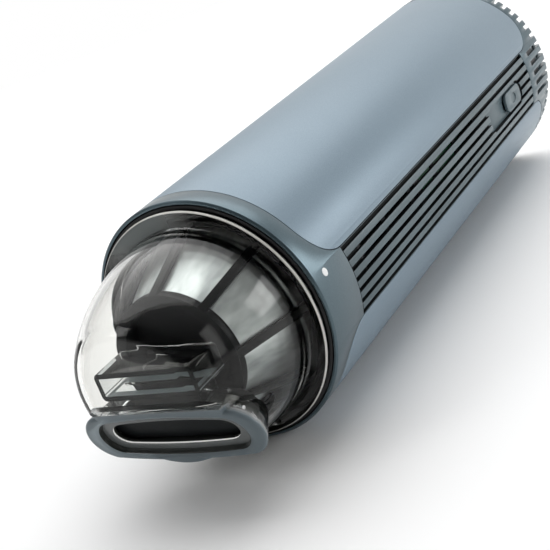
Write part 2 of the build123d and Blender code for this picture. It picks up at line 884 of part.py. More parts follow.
# Chassis tube with ledge, bulkhead, screw bosses and openings, split into two halves
with BuildPart() as chassis_tube:
    with BuildSketch(parting):
        with Locations(*boss_points):
            Circle(boss_radius)
    extrude(amount=body_radius, both=True)
    with BuildSketch(lengthwise):
        band(chassis_front, shell_rear, 0, chassis_radius - chassis_wall / 2)
    revolve(axis=spin, mode=Mode.INTERSECT)
    with BuildSketch(lengthwise):
        band(chassis_front, shell_rear, chassis_bore, chassis_radius)
        band(
            fan_front,
            fan_front + intake_ledge,
            fan_radius + joint_gap,
            chassis_radius - chassis_wall / 2,
        )
        band(
            bulkhead_front,
            bulkhead_front + bulkhead_thickness,
            rear_mount_radius + press_fit,
            chassis_radius - chassis_wall / 2,
        )
    revolve(axis=spin)
    with BuildSketch(station(grille_rear + seat_gap)):
        for side in sides:
            arc_band(strip_radius, body_radius + overrun, side, strip_recess_angle)
    extrude(amount=grille_rear - grille_front + 2 * seat_gap, mode=Mode.SUBTRACT)
    with BuildSketch(station(window_stop)):
        for side in sides:
            arc_band(chassis_bore - overrun / 2, body_radius, side, window_half_angle)
    extrude(amount=window_stop - bulkhead_front - bulkhead_thickness, mode=Mode.SUBTRACT)
    with BuildSketch(station(bulkhead_front)):
        for side in sides:
            arc_band(chassis_bore - overrun / 2, body_radius, side, window_half_angle)
    extrude(amount=bulkhead_front - window_start, mode=Mode.SUBTRACT)
    with BuildSketch(lengthwise.offset(board_face)):
        pad_outline(joint_gap)
    extrude(amount=body_radius, mode=Mode.SUBTRACT)

with BuildPart() as chassis_upper:
    add(chassis_tube.part)
    split(bisect_by=parting.offset(seat_gap / 2), keep=Keep.TOP)
    with BuildSketch(parting):
        with Locations(*boss_points):
            Circle(screw_radius + press_fit)
    extrude(amount=screw_grip + seat_gap, mode=Mode.SUBTRACT)

with BuildPart() as chassis_lower:
    add(chassis_tube.part)
    split(bisect_by=parting.offset(-seat_gap / 2), keep=Keep.BOTTOM)
    with BuildSketch(parting):
        with Locations(*boss_points):
            Circle(screw_radius + press_fit)
    extrude(amount=-body_radius, mode=Mode.SUBTRACT)
    with BuildSketch(parting.offset(-screw_seat_drop)):
        with Locations(*boss_points):
            Circle(screw_head_radius + seat_gap)
    extrude(amount=-body_radius, mode=Mode.SUBTRACT)

with BuildPart() as case_screws:
    with BuildSketch(parting.offset(-screw_seat_drop)):
        with Locations(*boss_points):
            Circle(screw_radius)
    extrude(amount=screw_seat_drop + screw_grip)
    with BuildSketch(parting.offset(-screw_seat_drop)):
        with Locations(*boss_points):
            Circle(screw_head_radius)
    extrude(amount=-screw_head_height)

# Metal shells above and below
with BuildPart() as upper_shell:
    with BuildSketch(lengthwise):
        shell_outline(1, 0)
    extrude(amount=body_radius + overrun, both=True)
    with BuildSketch(lengthwise):
        band(shell_front - overrun, shell_rear + overrun, shell_inner, body_radius)
    revolve(axis=spin, mode=Mode.INTERSECT)

with BuildPart() as lower_shell:
    with BuildSketch(lengthwise):
        shell_outline(-1, 0)
    extrude(amount=body_radius + overrun, both=True)
    with BuildSketch(lengthwise):
        band(shell_front - overrun, shell_rear + overrun, shell_inner, body_radius)
    revolve(axis=spin, mode=Mode.INTERSECT)

# Slatted grilles in the side strips, the right one with a window for the switch
with BuildPart() as right_grille:
    with BuildSketch(station(grille_rear)):
        slat_section(0)
    extrude(amount=grille_rear - grille_front)
    for window in range(window_count):
        with BuildSketch(station(window_start + window_pitch * (window + 1))):
            arc_band(grille_inner - overrun, body_radius - slat_depth + seat_gap, 0, window_half_angle)
        extrude(amount=window_pitch - cross_rib_width, mode=Mode.SUBTRACT)
    with BuildSketch(lengthwise):
        pad_outline(seat_gap)
    extrude(amount=body_radius + overrun, mode=Mode.SUBTRACT)

with BuildPart() as left_grille:
    with BuildSketch(station(grille_rear)):
        slat_section(180)
    extrude(amount=grille_rear - grille_front)
    for window in range(window_count):
        with BuildSketch(station(window_start + window_pitch * (window + 1))):
            arc_band(grille_inner - overrun, body_radius - slat_depth + seat_gap, 180, window_half_angle)
        extrude(amount=window_pitch - cross_rib_width, mode=Mode.SUBTRACT)

# Slide switch: sunken pad with a track, slider, switch and its board
with BuildPart() as switch_pad:
    with BuildSketch(lengthwise.offset(pad_floor)):
        pad_outline(0)
        with Locations((switch_middle, 0)):
            Rectangle(
                stem_length + slide_travel + 2 * joint_gap,
                stem_width + 2 * joint_gap,
                mode=Mode.SUBTRACT,
            )
    extrude(amount=pad_depth)

with BuildPart() as switch_slider:
    with BuildSketch(lengthwise.offset(thumb_bottom)):
        with Locations((thumb_middle, 0)):
            RectangleRounded(thumb_length, thumb_width, thumb_corner)
    extrude(amount=thumb_top - thumb_bottom)
    with BuildSketch(lengthwise.offset(thumb_top)):
        with Locations((thumb_middle, 0)):
            Ellipse(thumb_dimple_length / 2, thumb_dimple_width / 2)
    extrude(amount=-thumb_dimple_depth, mode=Mode.SUBTRACT)
    with BuildSketch(lengthwise.offset(switch_top - switch_groove_depth + joint_gap)):
        with Locations((thumb_middle, 0)):
            Rectangle(stem_length, stem_width)
    extrude(amount=thumb_bottom - switch_top + switch_groove_depth)

with BuildPart() as switch_body:
    with BuildSketch(lengthwise.offset(board_face)):
        with Locations((switch_middle, 0)):
            Rectangle(switch_length, switch_width)
    extrude(amount=switch_height)
    with BuildSketch(lengthwise.offset(switch_top - switch_groove_depth)):
        with Locations((switch_middle, 0)):
            Rectangle(stem_length + slide_travel + 2 * joint_gap, stem_width + 2 * joint_gap)
    extrude(amount=switch_height, mode=Mode.SUBTRACT)

with BuildPart() as control_board:
    with BuildSketch(lengthwise.offset(board_inner)):
        with Locations(((cradle_front + board_rear) / 2, 0)):
            Rectangle(board_rear - cradle_front, board_width)
    extrude(amount=board_thickness)

# Battery: three cells between two cradles, joined at each end by a link
with BuildPart() as battery_cells:
    with BuildSketch(station(cell_rear)):
        with Locations((0, -pack_drop)):
            with PolarLocations(pack_radius, cell_count, start_angle=-90):
                Circle(cell_radius)
    extrude(amount=cell_rear - cell_front)

with BuildPart() as cell_links:
    with BuildSketch(station(cell_front)):
        link_outline(0)
    extrude(amount=link_thickness)
    with BuildSketch(station(cell_rear + link_thickness)):
        link_outline(0)
    extrude(amount=link_thickness)

with BuildPart() as cradle_fore:
    with BuildSketch(station(cradle_front + cradle_thickness)):
        cradle_outline()
    extrude(amount=cradle_thickness)
    with BuildSketch(station(cradle_front + cradle_thickness)):
        with Locations((0, -pack_drop)):
            with PolarLocations(pack_radius, cell_count, start_angle=-90):
                Circle(cell_radius + cell_fit)
        link_outline(seat_gap)
    extrude(amount=cradle_front + cradle_thickness - pocket_floor, mode=Mode.SUBTRACT)

with BuildPart() as cradle_aft:
    with BuildSketch(station(cradle_rear)):
        cradle_outline()
    extrude(amount=cradle_thickness)
    with BuildSketch(station(cell_rear + 2 * link_thickness)):
        with Locations((0, -pack_drop)):
            with PolarLocations(pack_radius, cell_count, start_angle=-90):
                Circle(cell_radius + cell_fit)
        link_outline(seat_gap)
    extrude(amount=cradle_thickness, mode=Mode.SUBTRACT)

# Rear ring with radial vents and tongues, end cap, charging board, socket and light
with BuildPart() as rear_vent_ring:
    with BuildSketch(lengthwise):
        band(shell_rear - tongue_length - ring_margin, body_length, shell_inner, body_radius)
    revolve(axis=spin)
    with BuildSketch(lengthwise):
        for way in ways:
            shell_outline(way, panel_gap)
    extrude(amount=body_radius + overrun, both=True, mode=Mode.SUBTRACT)
    with BuildSketch(lengthwise):
        band(
            shell_rear + panel_gap,
            body_length,
            body_radius - ring_wall,
            body_radius - shell_thickness / 2,
        )
        band(
            shell_rear - ring_spigot_length,
            shell_rear + ring_spigot_length / 2,
            body_radius - ring_wall,
            chassis_bore - seat_gap,
        )
    revolve(axis=spin)
    fillet(rear_vent_ring.edges().group_by(Axis.Y)[-1].sort_by(SortBy.LENGTH)[-1], ring_rounding)
    with BuildSketch(station(body_length - vent_rear_margin)):
        with PolarLocations(body_radius - ring_wall / 2, vent_count):
            Rectangle(ring_wall + overrun / 2, vent_width)
    extrude(
        amount=body_length - vent_rear_margin - shell_rear - vent_front_margin,
        mode=Mode.SUBTRACT,
    )
    with BuildSketch(station(body_length + overrun)):
        with PolarLocations(body_radius - (vent_notch_depth - overrun) / 2, vent_count):
            Rectangle(vent_notch_depth + overrun, vent_width)
    extrude(amount=overrun + vent_rear_margin, mode=Mode.SUBTRACT)
    with BuildSketch(station(shell_rear + vent_front_margin + panel_gap)):
        for side in sides:
            with PolarLocations(
                body_radius + (overrun - vent_groove_depth) / 2,
                vent_strip_count,
                start_angle=side - 180 * (vent_strip_count - 1) / vent_count,
                angular_range=360 * vent_strip_count / vent_count,
            ):
                Rectangle(overrun + vent_groove_depth, vent_width)
    extrude(amount=vent_strip_extra, mode=Mode.SUBTRACT)

with BuildPart() as rear_cap:
    with BuildSketch(station(body_length)):
        Circle(cap_radius)
    extrude(amount=cap_thickness)
    with BuildSketch(station(body_length)):
        Circle(cap_dish_radius)
    extrude(amount=cap_dish_depth, mode=Mode.SUBTRACT)
    with BuildSketch(station(cap_front + seat_gap)):
        with GridLocations(2 * post_offset, 0, 2, 1):
            Circle(post_radius)
    extrude(amount=cap_front + seat_gap - socket_front)
    with BuildSketch(station(body_length)):
        with Locations((0, -socket_drop)):
            SlotOverall(socket_width + 2 * seat_gap, socket_height + 2 * seat_gap)
        with Locations((0, light_offset)):
            Circle(light_radius + press_fit)
    extrude(amount=cap_thickness + overrun, mode=Mode.SUBTRACT)

with BuildPart() as charge_board:
    with BuildSketch(station(socket_front)):
        Circle(charge_board_radius)
    extrude(amount=board_thickness)

with BuildPart() as charge_socket:
    with BuildSketch(station(socket_rear)):
        with Locations((0, -socket_drop)):
            SlotOverall(socket_width, socket_height)
            SlotOverall(socket_width - 2 * socket_wall, socket_height - 2 * socket_wall, mode=Mode.SUBTRACT)
            Rectangle(tongue_width, tongue_thickness)
    extrude(amount=socket_rear - socket_front)
    with BuildSketch(station(socket_front + 2 * socket_wall)):
        with Locations((0, -socket_drop)):
            SlotOverall(socket_width, socket_height)
    extrude(amount=2 * socket_wall)

with BuildPart() as charge_light:
    with BuildSketch(station(body_length - cap_dish_depth)):
        with Locations((0, light_offset)):
            Circle(light_radius)
    extrude(amount=body_length - cap_dish_depth - socket_front)

pieces = {
    "dust_cup": dust_cup,
    "inlet_duct": inlet_duct,
    "cup_seal": cup_seal,
    "flap_pin": flap_pin,
    "inlet_flap": inlet_flap,
    "front_collar": front_collar,
    "filter_frame": filter_frame,
    "filter_mesh": filter_mesh,
    "filter_pleats": filter_pleats,
    "filter_seal": filter_seal,
    "intake_plate": intake_plate,
    "fan_cover": fan_cover,
    "impeller": impeller,
    "diffuser": diffuser,
    "motor_can": motor_can,
    "motor_stator": motor_stator,
    "rotor_magnet": rotor_magnet,
    "rotor_shaft": rotor_shaft,
    "front_bearing": front_bearing,
    "rear_bearing": rear_bearing,
    "front_mount": front_mount,
    "rear_mount": rear_mount,
    "chassis_upper": chassis_upper,
    "chassis_lower": chassis_lower,
    "case_screws": case_screws,
    "upper_shell": upper_shell,
    "lower_shell": lower_shell,
    "right_grille": right_grille,
    "left_grille": left_grille,
    "switch_pad": switch_pad,
    "switch_slider": switch_slider,
    "switch_body": switch_body,
    "control_board": control_board,
    "battery_cells": battery_cells,
    "cell_links": cell_links,
    "cradle_fore": cradle_fore,
    "cradle_aft": cradle_aft,
    "rear_vent_ring": rear_vent_ring,
    "rear_cap": rear_cap,
    "charge_board": charge_board,
    "charge_socket": charge_socket,
    "charge_light": charge_light,
}
for name, piece in pieces.items():
    piece.part.label = name
    export_step(piece.part, f"parts/{name}.step")
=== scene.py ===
import bmesh
import bpy
import math
from mathutils import Euler, Matrix, Vector


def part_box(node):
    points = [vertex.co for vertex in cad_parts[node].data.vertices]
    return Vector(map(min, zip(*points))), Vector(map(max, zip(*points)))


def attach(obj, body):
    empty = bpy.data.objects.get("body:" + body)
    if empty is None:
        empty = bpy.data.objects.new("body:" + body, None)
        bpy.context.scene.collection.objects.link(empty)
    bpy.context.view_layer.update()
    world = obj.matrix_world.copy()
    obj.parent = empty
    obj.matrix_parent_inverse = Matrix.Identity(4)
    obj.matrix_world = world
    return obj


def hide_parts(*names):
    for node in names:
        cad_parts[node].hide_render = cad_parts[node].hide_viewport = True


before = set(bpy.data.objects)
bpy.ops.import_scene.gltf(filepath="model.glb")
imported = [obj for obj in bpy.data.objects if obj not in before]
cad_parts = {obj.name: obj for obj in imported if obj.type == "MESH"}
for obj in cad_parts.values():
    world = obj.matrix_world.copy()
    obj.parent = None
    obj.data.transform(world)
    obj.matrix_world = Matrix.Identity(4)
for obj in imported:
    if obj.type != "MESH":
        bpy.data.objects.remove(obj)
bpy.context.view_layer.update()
print("frame loaded,", len(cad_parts), "nodes")

mm = 0.001
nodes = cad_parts

# places that the whole script works from, read off the frame
collarLow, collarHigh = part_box("front_collar")
shellLow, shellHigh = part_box("upper_shell")
bodyRadius = (collarHigh.x - collarLow.x) / 2
axisZ = (collarLow.z + collarHigh.z) / 2
collarY = collarLow.y
shellFront = shellLow.y - collarY
shellRear = shellHigh.y - collarY
stripHeight = shellLow.z - axisZ
axisPoint = Vector((0, collarY, axisZ))

# how meshes are joined, picked, rounded and shaded, with angles in degrees
meshRules = {
    "weld": 0.002 * mm, "nodeWeld": 0.001 * mm, "flat": 0.5, "parallel": 0.999, "onPlane": 0.1 * mm,
    "bevelFrom": 40, "bevelSmooth": 32, "turnedSmooth": 30,
}


def startFresh():
    if bpy.context.mode != "OBJECT":
        bpy.ops.object.mode_set(mode="OBJECT")
    bpy.ops.object.select_all(action="DESELECT")


def makeActive(piece):
    startFresh()
    piece.select_set(True)
    bpy.context.view_layer.objects.active = piece


def editAll(piece):
    makeActive(piece)
    bpy.ops.object.mode_set(mode="EDIT")
    bpy.ops.mesh.select_all(action="SELECT")


def at(station, radius):  # a point on the upright plane through the axis
    return Vector((0, collarY + station, axisZ + radius))


def fromAxis(point):  # how far a point lies from the body's axis
    away = point - axisPoint
    return math.hypot(away.x, away.z)


def drawLine(name, points, closed=True):  # a chain of edges, drawn point by point
    startFresh()
    bpy.ops.mesh.primitive_plane_add(size=mm, location=(0, 0, 0))
    piece = bpy.context.object
    piece.name = piece.data.name = name
    bpy.ops.object.mode_set(mode="EDIT")
    bpy.ops.mesh.select_all(action="SELECT")
    bpy.ops.mesh.merge(type="CENTER")
    bpy.ops.transform.translate(value=points[0])
    for last, point in zip(points, points[1:]):
        bpy.ops.mesh.extrude_vertices_move(TRANSFORM_OT_translate={"value": point - last})
    if closed:
        shape = bmesh.from_edit_mesh(piece.data)
        shape.verts.ensure_lookup_table()
        shape.verts[0].select = True
        bmesh.update_edit_mesh(piece.data)
        bpy.ops.mesh.edge_face_add()
    return piece


def tidyNormals():
    bpy.ops.mesh.select_all(action="SELECT")
    bpy.ops.mesh.remove_doubles(threshold=meshRules["weld"])
    bpy.ops.mesh.normals_make_consistent(inside=False)


def spinRound(name, points, steps, closed=True):  # turns a line once round the body's axis
    piece = drawLine(name, points, closed)
    bpy.ops.mesh.select_all(action="SELECT")
    bpy.ops.mesh.spin(steps=steps, angle=math.tau, center=axisPoint, axis=(0, 1, 0))
    tidyNormals()
    bpy.ops.object.mode_set(mode="OBJECT")
    return piece


def addBlock(name, low, high):  # a cube stretched between two corners
    startFresh()
    low, high = Vector(low), Vector(high)
    bpy.ops.mesh.primitive_cube_add(size=1, location=(low + high) / 2)
    piece = bpy.context.object
    piece.name = piece.data.name = name
    piece.scale = high - low
    bpy.ops.object.transform_apply(location=True, rotation=True, scale=True)
    return piece


def settle(piece, matrix):  # moves a piece to its place and puts that into its mesh
    piece.matrix_world = matrix
    makeActive(piece)
    bpy.ops.object.transform_apply(location=True, rotation=True, scale=True)


def roundEdges(piece, direction, radius, segments):  # rounds the edges that run along one direction
    editAll(piece)
    bpy.ops.mesh.select_all(action="DESELECT")
    bpy.ops.mesh.select_mode(type="EDGE")
    shape = bmesh.from_edit_mesh(piece.data)
    along = Vector(direction)
    for edge in shape.edges:
        run = (edge.verts[1].co - edge.verts[0].co).normalized()
        edge.select_set(abs(run.dot(along)) > meshRules["parallel"])
    bmesh.update_edit_mesh(piece.data)
    bpy.ops.mesh.bevel(offset=radius, segments=segments, affect="EDGES")
    bpy.ops.mesh.select_mode(type="VERT")
    bpy.ops.object.mode_set(mode="OBJECT")


def combine(piece, tool, operation):
    makeActive(piece)
    step = piece.modifiers.new("combine", "BOOLEAN")
    step.solver = "EXACT"
    step.operation = operation
    step.object = tool
    bpy.ops.object.modifier_apply(modifier=step.name)
    bpy.data.objects.remove(tool)


def shadeSmooth(piece, angle):
    makeActive(piece)
    bpy.ops.object.shade_smooth_by_angle(angle=math.radians(angle))


def softEdges(piece, width, segments=2, angle=meshRules["bevelFrom"]):
    makeActive(piece)
    step = piece.modifiers.new("edges", "BEVEL")
    step.width = width
    step.segments = segments
    step.limit_method = "ANGLE"
    step.angle_limit = math.radians(angle)
    step.use_clamp_overlap = True
    bpy.ops.object.modifier_apply(modifier=step.name)
    shadeSmooth(piece, meshRules["bevelSmooth"])


def copyNode(node, name):  # a merged copy of a CAD solid, to be finished further
    startFresh()
    piece = nodes[node].copy()
    piece.data = nodes[node].data.copy()
    piece.name = piece.data.name = name
    for key in list(piece.keys()):  # the frame's own marks
        del piece[key]
    piece.parent = None
    bpy.context.scene.collection.objects.link(piece)
    editAll(piece)
    bpy.ops.mesh.remove_doubles(threshold=meshRules["nodeWeld"])
    bpy.ops.mesh.dissolve_limited(angle_limit=math.radians(meshRules["flat"]))
    bpy.ops.object.mode_set(mode="OBJECT")
    return piece


def dress(piece, material):
    piece.data.materials.clear()
    piece.data.materials.append(material)


def dressWhere(piece, material, holds):  # a second finish on the faces whose middle passes a test
    piece.data.materials.append(material)
    editAll(piece)
    bpy.ops.mesh.select_all(action="DESELECT")
    bpy.ops.mesh.select_mode(type="FACE")
    shape = bmesh.from_edit_mesh(piece.data)
    for face in shape.faces:
        face.select_set(holds(face.calc_center_median()))
    bmesh.update_edit_mesh(piece.data)
    piece.active_material_index = len(piece.data.materials) - 1
    bpy.ops.object.material_slot_assign()
    bpy.ops.mesh.select_mode(type="VERT")
    bpy.ops.object.mode_set(mode="OBJECT")


def place(piece, body, node, material):
    dress(piece, material)
    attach(piece, body)
    if node:
        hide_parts(node)


# materials

def newMaterial(name):
    material = bpy.data.materials.new(name)
    material.use_nodes = True
    tree = material.node_tree
    return material, tree.nodes, tree.links, tree.nodes["Principled BSDF"]


def noiseOn(tree, links, scale, detail=2.0, stretch=(1, 1, 1)):
    coords = tree.new("ShaderNodeTexCoord")
    mapping = tree.new("ShaderNodeMapping")
    mapping.inputs["Scale"].default_value = stretch
    noise = tree.new("ShaderNodeTexNoise")
    noise.inputs["Scale"].default_value = scale
    noise.inputs["Detail"].default_value = detail
    links.new(coords.outputs["Object"], mapping.inputs["Vector"])
    links.new(mapping.outputs["Vector"], noise.inputs["Vector"])
    return noise


def blendColours(tree, links, factor, first, second, low=0.35, high=0.65):
    ramp = tree.new("ShaderNodeValToRGB")
    ramp.color_ramp.elements[0].position = low
    ramp.color_ramp.elements[0].color = (*first, 1)
    ramp.color_ramp.elements[1].position = high
    ramp.color_ramp.elements[1].color = (*second, 1)
    links.new(factor, ramp.inputs["Fac"])
    return ramp.outputs["Color"]


def rangeOf(tree, links, factor, low, high):
    spread = tree.new("ShaderNodeMapRange")
    spread.inputs["To Min"].default_value = low
    spread.inputs["To Max"].default_value = high
    links.new(factor, spread.inputs["Value"])
    return spread.outputs["Result"]


def bumpFrom(tree, links, height, distance, strength, shader):
    bump = tree.new("ShaderNodeBump")
    bump.inputs["Distance"].default_value = distance
    bump.inputs["Strength"].default_value = strength
    links.new(height, bump.inputs["Height"])
    links.new(bump.outputs["Normal"], shader.inputs["Normal"])


def colourFrom(tree, links, noise, dark, light, shader):
    links.new(blendColours(tree, links, noise.outputs["Fac"], dark, light), shader.inputs["Base Color"])


def roughFrom(tree, links, noise, low, high, shader):
    links.new(rangeOf(tree, links, noise.outputs["Fac"], low, high), shader.inputs["Roughness"])


paint = {
    "flakes": 5200, "flakeDetail": 3, "clouds": 60, "roughSpread": 0.04,
    "coat": 0.12, "coatRough": 0.3, "bumpDepth": 0.02 * mm, "bump": 0.25,
}


def paintedMetal(name, dark, light, metallic, rough):
    material, tree, links, shader = newMaterial(name)
    flakes = noiseOn(tree, links, paint["flakes"], paint["flakeDetail"])
    clouds = noiseOn(tree, links, paint["clouds"])
    colourFrom(tree, links, flakes, dark, light, shader)
    roughFrom(tree, links, clouds, rough - paint["roughSpread"], rough + paint["roughSpread"], shader)
    shader.inputs["Metallic"].default_value = metallic
    shader.inputs["Coat Weight"].default_value = paint["coat"]
    shader.inputs["Coat Roughness"].default_value = paint["coatRough"]
    bumpFrom(tree, links, flakes.outputs["Fac"], paint["bumpDepth"], paint["bump"], shader)
    return material


plastic = {"grainDetail": 3, "clouds": 45, "roughSpread": 0.06, "bump": 0.35}


def mouldedPlastic(name, dark, light, rough, grain=2600, depth=0.02 * mm, shine=0.5):
    material, tree, links, shader = newMaterial(name)
    grains = noiseOn(tree, links, grain, plastic["grainDetail"])
    clouds = noiseOn(tree, links, plastic["clouds"])
    colourFrom(tree, links, clouds, dark, light, shader)
    roughFrom(tree, links, grains, rough - plastic["roughSpread"], rough + plastic["roughSpread"], shader)
    shader.inputs["Specular IOR Level"].default_value = shine
    bumpFrom(tree, links, grains.outputs["Fac"], depth, plastic["bump"], shader)
    return material


haze = {"scale": 120, "least": 0.6, "most": 1.4}


def clearPlastic(name, dark, light, rough, bend=1.49, gloss=0.0):
    material, tree, links, shader = newMaterial(name)
    clouds = noiseOn(tree, links, haze["scale"])
    colourFrom(tree, links, clouds, dark, light, shader)
    roughFrom(tree, links, clouds, rough * haze["least"], rough * haze["most"], shader)
    shader.inputs["IOR"].default_value = bend
    shader.inputs["Transmission Weight"].default_value = 1.0
    shader.inputs["Coat Weight"].default_value = gloss
    return material


def shareAlong(tree, links, facing, start, stop):  # grows from 0 to 1 along a direction
    coords = tree.new("ShaderNodeTexCoord")
    along = tree.new("ShaderNodeVectorMath")
    along.operation = "DOT_PRODUCT"
    along.inputs[1].default_value = facing
    nearness = tree.new("ShaderNodeMapRange")
    nearness.inputs["From Min"].default_value = start
    nearness.inputs["From Max"].default_value = stop
    links.new(coords.outputs["Object"], along.inputs[0])
    links.new(along.outputs["Value"], nearness.inputs["Value"])
    return nearness.outputs["Result"]


cupTint = (0.95, 0.95, 0.93)


# on the flange the colour it gives is a painted sheen
def satinWhere(material, shares, satin):  # turns the cup's plastic satin where both shares are 1
    tree, links = material.node_tree.nodes, material.node_tree.links
    shader = tree["Principled BSDF"]
    both = tree.new("ShaderNodeMath")
    both.operation = "MULTIPLY"
    rougher = tree.new("ShaderNodeMath")
    rougher.operation = "MULTIPLY_ADD"
    rougher.inputs[1].default_value = satin["rough"]
    for index, (facing, start, stop) in enumerate(shares):
        links.new(shareAlong(tree, links, facing, start, stop), both.inputs[index])
    share = both.outputs["Value"]
    links.new(share, rougher.inputs[0])
    links.new(shader.inputs["Roughness"].links[0].from_socket, rougher.inputs[2])
    links.new(rougher.outputs["Value"], shader.inputs["Roughness"])
    links.new(blendColours(tree, links, share, cupTint, satin["colour"], 0, 1), shader.inputs["Base Color"])
    links.new(rangeOf(tree, links, share, 1.0, satin["clear"]), shader.inputs["Transmission Weight"])


brushed = {"streaks": 900, "detail": 4, "roughSpread": 0.07, "bumpDepth": 0.01 * mm, "bump": 0.4}


def brushedMetal(name, dark, light, rough, stretch):
    material, tree, links, shader = newMaterial(name)
    streaks = noiseOn(tree, links, brushed["streaks"], brushed["detail"], stretch)
    colourFrom(tree, links, streaks, dark, light, shader)
    roughFrom(tree, links, streaks, rough - brushed["roughSpread"], rough + brushed["roughSpread"], shader)
    shader.inputs["Metallic"].default_value = 1.0
    bumpFrom(tree, links, streaks.outputs["Fac"], brushed["bumpDepth"], brushed["bump"], shader)
    return material


waveFactor = 20  # a wave texture makes its bands from the sine of 20 times the place
woven = {
    "ringPitch": 2.2 * mm, "ringBend": 0.3, "ringDepth": 0.02 * mm, "ringBump": 0.25,
    "streaks": 150, "detail": 3, "stretch": (1, 0.06, 1), "drawn": 0.6,
    "dark": (0.27, 0.295, 0.30), "darkTo": 0.36, "darkRough": 0.42,
    "light": (0.64, 0.69, 0.69), "lightFrom": 0.64, "lightRough": 0.26,
}


def wovenSteel(name):  # faint rings and streaks, with highlights drawn out round the axis
    material, tree, links, shader = newMaterial(name)
    coords = tree.new("ShaderNodeTexCoord")
    rings = tree.new("ShaderNodeTexWave")
    rings.bands_direction = "Y"
    rings.inputs["Scale"].default_value = math.tau / (waveFactor * woven["ringPitch"])
    rings.inputs["Distortion"].default_value = woven["ringBend"]
    links.new(coords.outputs["Object"], rings.inputs["Vector"])
    aroundAxis = tree.new("ShaderNodeTangent")
    aroundAxis.direction_type = "RADIAL"
    aroundAxis.axis = "Y"
    streaks = noiseOn(tree, links, woven["streaks"], woven["detail"], woven["stretch"])
    colour = blendColours(
        tree, links, streaks.outputs["Fac"],
        woven["dark"], woven["light"], woven["darkTo"], woven["lightFrom"]
    )
    links.new(colour, shader.inputs["Base Color"])
    roughFrom(tree, links, streaks, woven["darkRough"], woven["lightRough"], shader)
    links.new(aroundAxis.outputs["Tangent"], shader.inputs["Tangent"])
    shader.inputs["Metallic"].default_value = 1.0
    shader.inputs["Anisotropic"].default_value = woven["drawn"]
    bumpFrom(tree, links, rings.outputs["Fac"], woven["ringDepth"], woven["ringBump"], shader)
    return material


